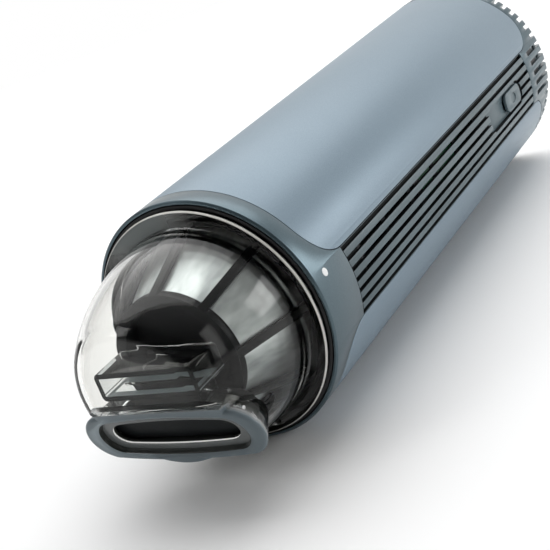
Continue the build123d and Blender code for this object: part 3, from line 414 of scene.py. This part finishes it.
finishes = {
    "shellPaint": paintedMetal(
        "satin_shell_paint", (0.158, 0.218, 0.268), (0.202, 0.274, 0.332), metallic=0.30, rough=0.42
    ),
    "collarPaint": paintedMetal(
        "satin_collar_paint", (0.062, 0.095, 0.112), (0.092, 0.136, 0.158), metallic=0.60, rough=0.30
    ),
    "grillePlastic": mouldedPlastic("grille_plastic", (0.072, 0.107, 0.123), (0.094, 0.136, 0.155), 0.42),
    "thumbPlastic": mouldedPlastic("thumb_plastic", (0.081, 0.118, 0.135), (0.103, 0.147, 0.167), 0.38),
    # painted shade in the grille's slots
    "slotShade": mouldedPlastic("painted_slot_shade", (0.005, 0.007, 0.008), (0.010, 0.012, 0.014), 0.60, shine=0.1),
    "dotWhite": mouldedPlastic("dot_white", (0.78, 0.79, 0.79), (0.88, 0.89, 0.89), 0.45),
    "clearCup": clearPlastic("clear_cup", cupTint, cupTint, 0.02, bend=1.22, gloss=0.08),
    "clearFlange": clearPlastic("clear_flange", cupTint, cupTint, 0.02, bend=1.22, gloss=0.08),
    # painted highlight on the flange's rim
    "rimHighlight": mouldedPlastic("painted_rim_highlight", (0.62, 0.61, 0.57), (0.72, 0.71, 0.67), 0.25),
    # painted shade in the passage
    "passageShade": mouldedPlastic("painted_passage_shade", (0.024, 0.027, 0.025), (0.042, 0.045, 0.042), 0.16),
    # painted shading on the ledge
    "ledgeShading": mouldedPlastic("painted_ledge_shading", (0.09, 0.10, 0.10), (0.14, 0.15, 0.15), 0.22),
    "edgeGlow": mouldedPlastic("edge_glow", (0.80, 0.80, 0.78), (0.88, 0.88, 0.86), 0.20),
    "clearDuct": clearPlastic(
        "clear_duct", (0.72, 0.74, 0.74), (0.78, 0.80, 0.80), 0.02, bend=1.12, gloss=0.12
    ),
    # painted reflection on the duct's floor
    "ductFloorReflection": mouldedPlastic("painted_duct_floor_reflection", (0.150, 0.185, 0.195), (0.190, 0.230, 0.240), 0.30),
    # painted shade on the duct's front frame
    "ductEdgeShade": mouldedPlastic("painted_duct_edge_shade", (0.010, 0.012, 0.012), (0.018, 0.020, 0.020), 0.50, shine=0.0),
    "cageBlack": mouldedPlastic(
        "cage_black_plastic", (0.004, 0.005, 0.006), (0.009, 0.010, 0.011), 0.34, shine=0.08
    ),
    "meshSteel": wovenSteel("woven_filter_steel"),
    "paper": mouldedPlastic(
        "filter_paper", (0.72, 0.70, 0.63), (0.84, 0.82, 0.76), 0.85, grain=1800, depth=0.06 * mm
    ),
    "sealRubber": mouldedPlastic(
        "seal_rubber", (0.008, 0.008, 0.009), (0.016, 0.016, 0.017), 0.62, grain=1500, depth=0.03 * mm
    ),
    "flapRubber": mouldedPlastic(
        "flap_rubber", (0.005, 0.006, 0.007), (0.010, 0.012, 0.013), 0.50,
        grain=1500, depth=0.03 * mm, shine=0.15
    ),
    "fanPlastic": mouldedPlastic("fan_plastic", (0.07, 0.07, 0.075), (0.11, 0.11, 0.115), 0.45),
    "chassisPlastic": mouldedPlastic("chassis_plastic", (0.035, 0.036, 0.038), (0.05, 0.051, 0.053), 0.55),
    "brightSteel": brushedMetal("ground_steel", (0.55, 0.56, 0.57), (0.78, 0.79, 0.80), 0.25, (1, 0.05, 1)),
    "motorSteel": brushedMetal(
        "plated_motor_steel", (0.40, 0.40, 0.40), (0.58, 0.58, 0.57), 0.32, stretch=(1, 0.05, 1)
    ),
    "coreSteel": brushedMetal(
        "laminated_core_steel", (0.16, 0.15, 0.15), (0.30, 0.29, 0.28), 0.45, stretch=(0.05, 1, 0.05)
    ),
    "nickel": brushedMetal("nickel_strip", (0.50, 0.48, 0.44), (0.70, 0.68, 0.63), 0.30, (1, 0.2, 1)),
    "board": mouldedPlastic(
        "board_green", (0.010, 0.085, 0.035), (0.020, 0.125, 0.055), 0.30, grain=900, depth=0.01 * mm
    ),
    "cellWrap": mouldedPlastic(
        "cell_wrap", (0.02, 0.09, 0.25), (0.03, 0.12, 0.32), 0.32, grain=700, depth=0.01 * mm
    ),
    "lightPipe": clearPlastic("light_pipe", (0.88, 0.92, 0.95), (0.92, 0.95, 0.97), 0.08),
}
nodeFinishes = {
    "dust_cup": "clearCup", "inlet_duct": "clearDuct", "flap_pin": "brightSteel", "inlet_flap": "flapRubber",
    "cup_seal": "sealRubber", "filter_frame": "cageBlack", "filter_mesh": "meshSteel",
    "filter_pleats": "paper", "filter_seal": "sealRubber", "intake_plate": "fanPlastic",
    "fan_cover": "fanPlastic", "impeller": "fanPlastic", "diffuser": "fanPlastic", "motor_can": "motorSteel",
    "motor_stator": "coreSteel", "rotor_magnet": "coreSteel", "rotor_shaft": "brightSteel",
    "front_bearing": "brightSteel", "rear_bearing": "brightSteel", "front_mount": "sealRubber",
    "rear_mount": "sealRubber", "chassis_upper": "chassisPlastic", "chassis_lower": "chassisPlastic",
    "case_screws": "brightSteel", "front_collar": "collarPaint", "upper_shell": "shellPaint",
    "lower_shell": "shellPaint", "right_grille": "grillePlastic", "left_grille": "grillePlastic",
    "rear_vent_ring": "collarPaint", "rear_cap": "grillePlastic", "switch_pad": "grillePlastic",
    "switch_slider": "thumbPlastic", "switch_body": "fanPlastic", "control_board": "board",
    "battery_cells": "cellWrap", "cell_links": "nickel", "cradle_fore": "chassisPlastic",
    "cradle_aft": "chassisPlastic", "charge_board": "board", "charge_socket": "nickel",
    "charge_light": "lightPipe",
}
for node, finish in nodeFinishes.items():
    dress(nodes[node], finishes[finish])
print("finishes on", len(nodeFinishes), "nodes")


# metal shells

shell = {
    "thickness": 1.0 * mm, "corner": 12.0 * mm, "cornerSegments": 16, "edge": 0.3 * mm, "edgeSegments": 3,
    "steps": 288, "overrun": 4.0 * mm,
}


def shellPrism(way, grow):  # the side view of a shell, as a long rounded block through the body
    reach = bodyRadius + shell["overrun"]
    near = way * (stripHeight - grow)
    far = way * (bodyRadius + shell["corner"] + shell["overrun"] + grow)
    low = (-reach, collarY + shellFront - grow, axisZ + min(near, far))
    high = (reach, collarY + shellRear + grow, axisZ + max(near, far))
    block = addBlock("shellBlock", low, high)
    roundEdges(block, (1, 0, 0), shell["corner"] + grow, shell["cornerSegments"])
    return block


def bodyTube(name, start, stop, thickness):
    inner = bodyRadius - thickness
    corners = [at(start, inner), at(stop, inner), at(stop, bodyRadius), at(start, bodyRadius)]
    return spinRound(name, corners, shell["steps"])


def makeShell(name, way, node):
    piece = bodyTube(name, shellFront - shell["overrun"], shellRear + shell["overrun"], shell["thickness"])
    combine(piece, shellPrism(way, 0), "INTERSECT")
    softEdges(piece, shell["edge"], shell["edgeSegments"])
    place(piece, "main", node, finishes["shellPaint"])


makeShell("upperShell", 1, "upper_shell")
makeShell("lowerShell", -1, "lower_shell")
print("shells made")


# collar with its tongues

collar = {
    "pocketDepth": 3.0 * mm, "lip": 1.0 * mm, "chamfer": 0.5 * mm, "core": 2.2 * mm,
    "coreEnd": 9.5 * mm, "gap": 0.25 * mm, "edge": 0.15 * mm,
}
tongueEnd = collarHigh.y - collarY
pocketRadius = bodyRadius - collar["lip"]
boreRadius = pocketRadius - collar["core"]
frontCollar = spinRound("frontCollar", [
    at(0, pocketRadius), at(0, bodyRadius - collar["chamfer"]), at(collar["chamfer"], bodyRadius),
    at(tongueEnd, bodyRadius), at(tongueEnd, bodyRadius - shell["thickness"]),
    at(collar["coreEnd"], bodyRadius - shell["thickness"]), at(collar["coreEnd"], boreRadius),
    at(collar["pocketDepth"], boreRadius), at(collar["pocketDepth"], pocketRadius),
], shell["steps"])
for way in (1, -1):
    combine(frontCollar, shellPrism(way, collar["gap"]), "DIFFERENCE")
softEdges(frontCollar, collar["edge"])
place(frontCollar, "main", "front_collar", finishes["collarPaint"])


def inPocket(point):  # the collar's inside, with its inner edge
    return fromAxis(point) < pocketRadius + collar["edge"] / 2


# darker in the pocket: the collar's inside and its inner edge take the filter frame's near-black
dressWhere(frontCollar, finishes["cageBlack"], inPocket)

dot = {
    "angle": 13.6, "station": 6.2 * mm, "radius": 1.15 * mm, "steps": 32,
    "proud": 0.04 * mm, "depth": 0.16 * mm,
}
startFresh()
bpy.ops.mesh.primitive_cylinder_add(vertices=dot["steps"], radius=dot["radius"], depth=dot["depth"])
alignDot = bpy.context.object
alignDot.name = alignDot.data.name = "alignDot"
lean = math.radians(dot["angle"])
outward = Vector((math.cos(lean), 0, math.sin(lean)))
dotPlace = axisPoint + Vector((0, dot["station"], 0)) + outward * (bodyRadius - dot["proud"])
settle(alignDot, Matrix.Translation(dotPlace) @ outward.to_track_quat("Z", "Y").to_matrix().to_4x4())
softEdges(alignDot, dot["proud"])
place(alignDot, "main", None, finishes["dotWhite"])
print("collar made")


# clear cup

cup = {
    "wall": 1.8 * mm, "flange": 2.0 * mm, "flangeRadius": 34.8 * mm, "spigotRadius": 33.45 * mm,
    "spigotDepth": 8.0 * mm, "domeRadius": 30.3 * mm, "domeReach": 47.0 * mm, "nose": 38.5 * mm,
    "noseRounding": 6.8 * mm, "flangeRounding": 0.7 * mm, "plateSink": 0.04 * mm,
    "steps": 192, "domePoints": 40, "arcPoints": 10, "flangePoints": 6, "halvings": 60,
}
mouth = {
    "setback": 5.7 * mm, "dropShare": 0.4, "tilt": 15.0, "brow": 60.0,
    "lipWidthShare": 1.54, "lipHeight": 18.2 * mm, "cornerWidthShare": 0.8, "cornerHeightShare": 0.84,
    "sideBorder": 4.7 * mm, "border": 2.5 * mm, "sideTaper": 1.8 * mm, "taper": 0.4 * mm,
    "passageDepth": 8.4 * mm, "back": 1.4 * mm, "sideWall": 3.0 * mm, "wall": 1.7 * mm,
    "throatDepth": 2.0 * mm, "throatThickness": 1.3 * mm, "throatLine": 0.45 * mm,
    "sideLedge": 3.3 * mm, "ledge": 2.3 * mm, "portWidth": 26.0 * mm, "portLength": 4.4 * mm,
    "rounding": 1.1 * mm, "roundingPoints": 5, "arcPoints": 20, "squareness": 3.5, "throatReach": 1.12,
}
lip = Vector((bodyRadius * mouth["lipWidthShare"], mouth["lipHeight"]))
inner = lip - 2 * Vector((mouth["sideBorder"], mouth["border"]))
passageEnd = inner - 2 * Vector((mouth["sideTaper"], mouth["taper"]))
nozzleEnd = passageEnd + 2 * Vector((mouth["sideWall"], mouth["wall"]))
throat = inner - 2 * Vector((mouth["sideLedge"], mouth["ledge"]))
nozzleDepth = mouth["passageDepth"] + mouth["back"]
tilt = math.radians(mouth["tilt"])
mouthOut = Vector((0, -math.cos(tilt), -math.sin(tilt)))
mouthUp = Vector((0, -math.sin(tilt), math.cos(tilt)))
mouthOrigin = axisPoint + Vector((0, mouth["setback"] - cup["nose"], -bodyRadius * mouth["dropShare"]))
mouthFrame = Matrix((
    (1, mouthUp.x, mouthOut.x, mouthOrigin.x),
    (0, mouthUp.y, mouthOut.y, mouthOrigin.y),
    (0, mouthUp.z, mouthOut.z, mouthOrigin.z),
    (0, 0, 0, 1),
))


def domeLine(radius, reach, nose, rounding):  # from the base of the dome to the axis, with a rounded nose
    base = -cup["flange"]

    def onDome(turn):
        point = Vector((base - reach * math.sin(turn), radius * math.cos(turn)))
        inward = -Vector(((point.x - base) / reach ** 2, point.y / radius ** 2)).normalized()
        return point, point + inward * rounding

    low, high = 0.0, math.pi / 2
    for _ in range(cup["halvings"]):
        middle = (low + high) / 2
        if onDome(middle)[1].x > -nose + rounding:
            low = middle
        else:
            high = middle
    touch, centre = onDome(low)
    line = [onDome(low * step / cup["domePoints"])[0] for step in range(cup["domePoints"] + 1)]
    start = math.atan2(touch.y - centre.y, touch.x - centre.x)
    for step in range(1, cup["arcPoints"] + 1):
        turn = start + (math.pi - start) * step / cup["arcPoints"]
        line.append(centre + rounding * Vector((math.cos(turn), math.sin(turn))))
    line.append(Vector((-nose, 0)))
    return [at(point.x, point.y) for point in line]


def domeInset(inset):  # the dome's line, moved into its wall
    return domeLine(
        cup["domeRadius"] - inset, cup["domeReach"] - inset, cup["nose"] - inset, cup["noseRounding"] - inset
    )


def outlineOval(width, height):  # four arcs, in order round the oval
    reach, rise = width / 2, height / 2
    cornerX, cornerY = reach * mouth["cornerWidthShare"], rise * mouth["cornerHeightShare"]
    points = []
    for quarter in range(4):
        if quarter % 2 == 0:  # top and bottom
            half, sag, far = cornerX, rise - cornerY, rise
        else:
            half, sag, far = cornerY, reach - cornerX, reach
        radius = (half * half + sag * sag) / (2 * sag)
        spread = math.asin(half / radius)
        sign = 1 if quarter < 2 else -1
        for step in range(mouth["arcPoints"]):
            turn = spread * (2 * step / mouth["arcPoints"] - 1)
            across, out = radius * math.sin(turn), far - radius + radius * math.cos(turn)
            points.append(Vector((across, out, 0)) if quarter % 2 == 0 else Vector((out, -across, 0)))
            points[-1] = points[-1] * sign
    return points


def loftOvals(name, rings):  # rings of depth and size, from the first cap to the last
    depth, size = rings[0]
    lift = Vector((0, 0, -depth))
    piece = drawLine(name, [point + lift for point in outlineOval(size.x, size.y)])
    bpy.ops.mesh.select_all(action="SELECT")
    bpy.ops.mesh.edge_face_add()
    for nextDepth, nextSize in rings[1:]:
        bpy.ops.mesh.extrude_region_move(TRANSFORM_OT_translate={"value": (0, 0, depth - nextDepth)})
        growth = (nextSize.x / size.x, nextSize.y / size.y, 1)
        bpy.ops.transform.resize(value=growth, center_override=(0, 0, -nextDepth))
        depth, size = nextDepth, nextSize
    tidyNormals()
    bpy.ops.object.mode_set(mode="OBJECT")
    settle(piece, mouthFrame)
    return piece


def mouthBlock(name, low, high):  # a block in the mouth's own frame
    piece = addBlock(name, low, high)
    settle(piece, mouthFrame)
    return piece


def browBlock(name, back, top):  # what the mouth cuts off the dome, rising to the front above the lip
    piece = mouthBlock(name, (-wide, -wide, back), (wide, top, wide))
    editAll(piece)
    bpy.ops.mesh.select_all(action="DESELECT")
    shape = bmesh.from_edit_mesh(piece.data)
    for vertex in shape.verts:
        away = vertex.co - mouthOrigin
        vertex.select_set(away.dot(mouthOut) > wide / 2 and away.dot(mouthUp) > 0)
    bmesh.update_edit_mesh(piece.data)
    bpy.ops.transform.translate(value=mouthUp * (wide - back) * math.tan(math.radians(mouth["brow"])))
    bpy.ops.object.mode_set(mode="OBJECT")
    return piece


def edgeRings(size, radius, way):  # rings round an edge at the mouth's front, inwards or outwards
    rings = []
    for step in range(mouth["roundingPoints"] + 1):
        turn = math.pi / 2 * step / mouth["roundingPoints"]
        change = way * 2 * radius * (1 - math.cos(turn))
        rings.append((radius * (1 - math.sin(turn)), size + Vector((change, change))))
    return rings


wide = 2 * bodyRadius
spigotBore = cup["spigotRadius"] - cup["wall"]
flangeLine = []
for step in range(cup["flangePoints"] + 1):
    turn = math.pi / 2 * step / cup["flangePoints"]
    flangeLine.append(at(
        -cup["flange"] + cup["flangeRounding"] * (1 - math.cos(turn)),
        cup["flangeRadius"] - cup["flangeRounding"] * (1 - math.sin(turn)),
    ))
dustCup = spinRound("dustCup", list(reversed(domeInset(0))) + flangeLine + [
    at(0, cup["flangeRadius"]), at(0, cup["spigotRadius"]), at(cup["spigotDepth"], cup["spigotRadius"]),
    at(cup["spigotDepth"], spigotBore), at(0, spigotBore),
] + domeInset(cup["wall"]), cup["steps"], closed=False)
combine(dustCup, browBlock("frontBlock", 0, lip.y / 2), "DIFFERENCE")

# the plate round the mouth, which closes the dome where the front block cut it
plateLine = [at(-cup["flange"], 0)] + domeInset(cup["wall"] / 2)
frontPlate = spinRound("frontPlate", plateLine, cup["steps"], closed=False)
browCorner = math.radians(90 - mouth["brow"])
browRise = cup["wall"] * math.tan(browCorner / 2)  # keeps the plate's thickness round the corner
combine(frontPlate, browBlock("plateBack", -cup["wall"], lip.y / 2 + browRise), "INTERSECT")
combine(frontPlate, browBlock("plateFront", -cup["plateSink"], lip.y / 2), "DIFFERENCE")
combine(dustCup, frontPlate, "UNION")

nozzle = loftOvals("nozzle", [(nozzleDepth, nozzleEnd), *edgeRings(lip, mouth["rounding"], -1)])
throatEnd = mouth["throatDepth"] + mouth["throatThickness"]
mouthTaper = 2 * Vector((mouth["taper"], mouth["taper"]))
edgeGrowth = 2 * Vector((mouth["rounding"], mouth["rounding"]))
combine(nozzle, loftOvals("passage", [
    (mouth["passageDepth"], passageEnd), (throatEnd, inner - mouthTaper), (throatEnd, throat),
    (mouth["throatDepth"] + mouth["throatLine"], throat),
    (mouth["throatDepth"], throat), (mouth["throatDepth"], inner - mouthTaper / 2),
    *edgeRings(inner, mouth["rounding"], 1), (-mouth["rounding"], inner + edgeGrowth),
]), "DIFFERENCE")
portFront = mouth["portLength"] - mouth["passageDepth"]
combine(nozzle, mouthBlock(
    "port", (-mouth["portWidth"] / 2, 0, -mouth["passageDepth"]), (mouth["portWidth"] / 2, lip.y, portFront)
), "DIFFERENCE")
combine(dustCup, loftOvals("nozzleHole", [
    (2 * nozzleDepth, (nozzleEnd + passageEnd) / 2), (-nozzleDepth, (lip + inner) / 2)
]), "DIFFERENCE")
combine(dustCup, nozzle, "UNION")
shadeSmooth(dustCup, meshRules["turnedSmooth"])
lipSatin = {
    "colour": (0.175, 0.215, 0.237), "rough": 0.28, "clear": 0.25,
    "start": 3.2 * mm, "stop": 1.2 * mm, "above": 0.5 * mm, "below": 0.1 * mm,
}
# painted sheen: towards its top and one side the flange turns a grey satin and less clear
flangeSheen = {
    "colour": (0.46, 0.51, 0.51), "rough": 0.20, "clear": 0.55,
    "right": 8.0 * mm, "left": 4.0 * mm, "low": 20.0 * mm, "high": 28.0 * mm,
}
lipFront, lipTop = mouthOrigin.dot(mouthOut), mouthOrigin.dot(mouthUp) + lip.y / 2
satinWhere(finishes["clearCup"], [
    (mouthOut, lipFront - lipSatin["start"], lipFront - lipSatin["stop"]),
    (-mouthUp, -lipTop - lipSatin["above"], -lipTop + lipSatin["below"]),
], lipSatin)
satinWhere(finishes["clearFlange"], [
    ((-1, 0, 0), -flangeSheen["right"], flangeSheen["left"]),
    ((0, 0, 1), axisZ + flangeSheen["low"], axisZ + flangeSheen["high"]),
], flangeSheen)
place(dustCup, "cup", "dust_cup", finishes["clearCup"])


def inMouth(point, size):  # depth behind the lip, and a measure that is 1 on an oval of this size
    away = point - mouthOrigin
    across = (2 * abs(away.x) / size.x) ** mouth["squareness"]
    across += (2 * abs(away.dot(mouthUp)) / size.y) ** mouth["squareness"]
    return -away.dot(mouthOut), across


# painted shade: the walls of the passage through the clear nozzle are made near-black
def inPassage(point):  # between the mouth's rounded edge and its back, inside the middle of the wall
    share = inMouth(point, lip)[0] / nozzleDepth
    depth, across = inMouth(point, ((lip + inner) * (1 - share) + (nozzleEnd + passageEnd) * share) / 2)
    return mouth["rounding"] / 2 < depth < nozzleDepth and across < 1


# painted shading: the clear ledge is made an opaque grey, standing in for how it looks under the lamps
def onLedge(point):  # the front of the narrow ring inside the mouth
    depth, across = inMouth(point, inner)
    return abs(depth - mouth["throatDepth"]) < meshRules["onPlane"] and across < 1


def onThroat(point):  # the front of that ring's edge
    depth, across = inMouth(point, throat)
    return 0 < depth - mouth["throatDepth"] < mouth["throatLine"] and across < mouth["throatReach"]


def onFlange(point):  # the flat front of the flange, with the start of its rounding
    front = collarY - cup["flange"]
    return fromAxis(point) > cup["domeRadius"] and abs(point.y - front) < meshRules["onPlane"]


# painted highlight: the outer half of the flange's rounded edge is made an opaque pale cream
def onRim(point):  # the outer half of the flange's rounded edge
    start = cup["flangeRadius"] - cup["flangeRounding"] / 2
    return fromAxis(point) > start and point.y < collarY - cup["flange"] / 2


# painted glow: the throat's edge gives off light of its own, standing in for light piped through the clear
# plastic
glow = {"colour": (1, 1, 0.97, 1), "strength": 0.45}
glowShader = finishes["edgeGlow"].node_tree.nodes["Principled BSDF"]
glowShader.inputs["Emission Color"].default_value = glow["colour"]
glowShader.inputs["Emission Strength"].default_value = glow["strength"]
cupFinishes = {  # later ones take faces over from earlier ones
    "passageShade": inPassage, "clearFlange": onFlange, "rimHighlight": onRim,
    "ledgeShading": onLedge, "edgeGlow": onThroat,
}
for finish, holds in cupFinishes.items():
    dressWhere(dustCup, finishes[finish], holds)
print("cup made,", len(dustCup.data.polygons), "faces")


# clear duct over the mouth

duct = {"edge": 0.15 * mm, "bevelFrom": 50, "height": 8.2 * mm, "wall": 1.5 * mm}
inletDuct = copyNode("inlet_duct", "inletDuct")
place(inletDuct, "cup", "inlet_duct", finishes["clearDuct"])
ductLow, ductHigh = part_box("inlet_duct")
ductFloor = ductHigh.z - duct["height"] + duct["wall"]


# painted shade: the front frame of the clear duct is made near-black
def onDuctFront(point):  # the open frame at its front
    return point.y < ductLow.y + meshRules["onPlane"]


# painted reflection: the floor of the clear duct is made an opaque pale satin
def onDuctFloor(point):
    return abs(point.z - ductFloor) < meshRules["onPlane"]


dressWhere(inletDuct, finishes["ductEdgeShade"], onDuctFront)
dressWhere(inletDuct, finishes["ductFloorReflection"], onDuctFloor)
softEdges(inletDuct, duct["edge"], angle=duct["bevelFrom"])
print("duct made")


# filter mesh

meshLow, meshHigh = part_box("filter_mesh")
filterCone = {"wall": 0.4 * mm, "steps": 240}
coneStart, coneStop = meshLow.y - collarY, meshHigh.y - collarY
coneRear = meshHigh.x
coneFront = max(
    fromAxis(vertex.co)
    for vertex in nodes["filter_mesh"].data.vertices if vertex.co.y < meshLow.y + filterCone["wall"]
)
filterMesh = spinRound("filterMesh", [
    at(coneStart, coneFront), at(coneStop, coneRear),
    at(coneStop, coneRear - filterCone["wall"]), at(coneStart, coneFront - filterCone["wall"]),
], filterCone["steps"])
shadeSmooth(filterMesh, meshRules["turnedSmooth"])
place(filterMesh, "main", "filter_mesh", finishes["meshSteel"])
print("filter mesh made")


# pieces that keep their CAD form and get soft edges

softened = {
    "right_grille": ("rightGrille", "main", "dark_plastic", 0.12 * mm),
    "left_grille": ("leftGrille", "main", "dark_plastic", 0.12 * mm),
    "switch_pad": ("switchPad", "main", "dark_plastic", 0.15 * mm),
    "switch_slider": ("switchSlider", "slider", "slider_plastic", 0.25 * mm),
    "rear_vent_ring": ("rearVentRing", "main", "dark_plastic", 0.15 * mm),
    "rear_cap": ("rearCap", "main", "dark_plastic", 0.2 * mm),
    "filter_frame": ("filterFrame", "main", "filter_plastic", 0.3 * mm),
    "inlet_flap": ("inletFlap", "flap", "black_rubber", 0.15 * mm),
    "cup_seal": ("cupSeal", "cup", "black_rubber", 0.3 * mm),
}
grille = {"nodes": ("right_grille", "left_grille"), "shadeBelow": 0.4 * mm}


# painted shade: the slot walls below the slats' outer faces are made near-black
def inSlot(point):  # between the slats, below their outer faces
    return fromAxis(point) < bodyRadius - grille["shadeBelow"]


for node, (name, body, slot, edge) in softened.items():
    piece = copyNode(node, name)
    softEdges(piece, edge)
    place(piece, body, node, finishes[nodeFinishes[node]])
    if node in grille["nodes"]:
        dressWhere(piece, finishes["slotShade"], inSlot)
print("soft edges on", len(softened), "pieces")


# floor, light and camera

stage = {"size": 8.0, "white": 0.95, "rough": 0.7, "fadeStart": 0.45, "fadeStop": 1.0}
startFresh()
bpy.ops.mesh.primitive_plane_add(size=stage["size"], location=(0, 0, 0))
floor = bpy.context.object
floor.name = "floor"
floorMaterial, tree, links, shader = newMaterial("pale_floor")
shader.inputs["Base Color"].default_value = (stage["white"], stage["white"], stage["white"], 1)
shader.inputs["Roughness"].default_value = stage["rough"]
# far out it fades to plain white, for rays from the camera and through clear plastic
floorCoords = tree.new("ShaderNodeTexCoord")
distance = tree.new("ShaderNodeVectorMath")
distance.operation = "LENGTH"
fade = tree.new("ShaderNodeMapRange")
fade.inputs["From Min"].default_value = stage["fadeStart"]
fade.inputs["From Max"].default_value = stage["fadeStop"]
floorRays = tree.new("ShaderNodeLightPath")
straightOn = tree.new("ShaderNodeMath")
straightOn.operation = "MAXIMUM"
shown = tree.new("ShaderNodeMath")
shown.operation = "MULTIPLY"
floorWhite = tree.new("ShaderNodeEmission")
floorMix = tree.new("ShaderNodeMixShader")
links.new(floorCoords.outputs["Object"], distance.inputs[0])
links.new(distance.outputs["Value"], fade.inputs["Value"])
links.new(fade.outputs["Result"], shown.inputs[0])
links.new(floorRays.outputs["Is Camera Ray"], straightOn.inputs[0])
links.new(floorRays.outputs["Is Transmission Ray"], straightOn.inputs[1])
links.new(straightOn.outputs["Value"], shown.inputs[1])
links.new(shown.outputs["Value"], floorMix.inputs["Fac"])
links.new(shader.outputs["BSDF"], floorMix.inputs[1])
links.new(floorWhite.outputs["Emission"], floorMix.inputs[2])
links.new(floorMix.outputs["Shader"], tree["Material Output"].inputs["Surface"])
dress(floor, floorMaterial)

# a room that is bright on one side in reflections, and plain white from the camera and through clear plastic
studio = {"bright": (-0.10, 0.95, 0.30), "darkSide": -0.20, "darkest": 0.04, "brightest": 1.0}
world = bpy.data.worlds.new("studio")
bpy.context.scene.world = world
world.use_nodes = True
sky = world.node_tree.nodes
skyLinks = world.node_tree.links
sky.clear()
skyOut = sky.new("ShaderNodeOutputWorld")
skyCoords = sky.new("ShaderNodeTexCoord")
skyAngle = sky.new("ShaderNodeVectorMath")
skyAngle.operation = "DOT_PRODUCT"
skyAngle.inputs[1].default_value = studio["bright"]
skyRange = sky.new("ShaderNodeMapRange")
skyRange.inputs["From Min"].default_value = studio["darkSide"]
skyRange.inputs["To Min"].default_value = studio["darkest"]
skyRange.inputs["To Max"].default_value = studio["brightest"]
skyShade = sky.new("ShaderNodeBackground")
skyWhite = sky.new("ShaderNodeBackground")
skyWhite.inputs["Color"].default_value = skyShade.inputs["Color"].default_value = (1, 1, 1, 1)
skyWhite.inputs["Strength"].default_value = 1.0
skyRays = sky.new("ShaderNodeLightPath")
bounces, straight, through, either = [sky.new("ShaderNodeMath") for _ in range(4)]
bounces.operation = "ADD"
straight.operation = "LESS_THAN"
through.operation = "MULTIPLY"
either.operation = "MAXIMUM"
straight.inputs[1].default_value = 1  # fewer than one bounce
skyMix = sky.new("ShaderNodeMixShader")
skyLinks.new(skyCoords.outputs["Generated"], skyAngle.inputs[0])
skyLinks.new(skyAngle.outputs["Value"], skyRange.inputs["Value"])
skyLinks.new(skyRange.outputs["Result"], skyShade.inputs["Strength"])
skyLinks.new(skyRays.outputs["Is Camera Ray"], either.inputs[0])
skyLinks.new(skyRays.outputs["Diffuse Depth"], bounces.inputs[0])
skyLinks.new(skyRays.outputs["Glossy Depth"], bounces.inputs[1])
skyLinks.new(bounces.outputs["Value"], straight.inputs[0])
skyLinks.new(straight.outputs["Value"], through.inputs[0])
skyLinks.new(skyRays.outputs["Is Transmission Ray"], through.inputs[1])
skyLinks.new(through.outputs["Value"], either.inputs[1])
skyLinks.new(either.outputs["Value"], skyMix.inputs["Fac"])
skyLinks.new(skyShade.outputs["Background"], skyMix.inputs[1])
skyLinks.new(skyWhite.outputs["Background"], skyMix.inputs[2])
skyLinks.new(skyMix.outputs["Shader"], skyOut.inputs["Surface"])

lamps = {
    "roofLamp": {"from": (-0.45, 0.75, 1.5), "aim": (-0.40, 0.55, 0), "size": (2.4, 2.0), "power": 32},
    "frontLamp": {"from": (-0.45, -0.65, 0.45), "aim": (0, -0.1, axisZ), "size": (0.2, 0.5), "power": 1.0},
    "rightLamp": {"from": (1.30, 0.95, 0.42), "aim": (0, 0, axisZ), "size": (0.7, 0.6), "power": 7.0},
    "meshLamp": {
        "from": (0.80, -0.16, 0.30), "aim": (0.02, -0.09, axisZ), "size": (0.12, 0.5), "power": 0.35,
    },
}
for name, lamp in lamps.items():
    light = bpy.data.lights.new(name, "AREA")
    light.shape = "RECTANGLE"
    light.size, light.size_y = lamp["size"]
    light.energy = lamp["power"]
    holder = bpy.data.objects.new(name, light)
    bpy.context.scene.collection.objects.link(holder)
    holder.location = lamp["from"]
    holder.visible_camera = False
    ray = Vector(lamp["aim"]) - Vector(lamp["from"])
    holder.rotation_euler = ray.to_track_quat("-Z", "Y").to_euler()

view = {
    "place": (192.4 * mm, -316.95 * mm, 149.9 * mm), "turn": (69.449, 19.574, 28.482),
    "lens": 77.07, "sensor": 36.0, "nearest": 10.0 * mm,
}
camera = bpy.data.objects.new("camera", bpy.data.cameras.new("camera"))
bpy.context.scene.collection.objects.link(camera)
turned = Euler([math.radians(angle) for angle in view["turn"]])
camera.matrix_world = Matrix.LocRotScale(Vector(view["place"]), turned, None)
camera.data.lens = view["lens"]
camera.data.sensor_width = view["sensor"]
camera.data.clip_start = view["nearest"]
bpy.context.scene.camera = camera
bpy.context.scene.view_settings.view_transform = "Standard"
print("stage, lamps and camera set")
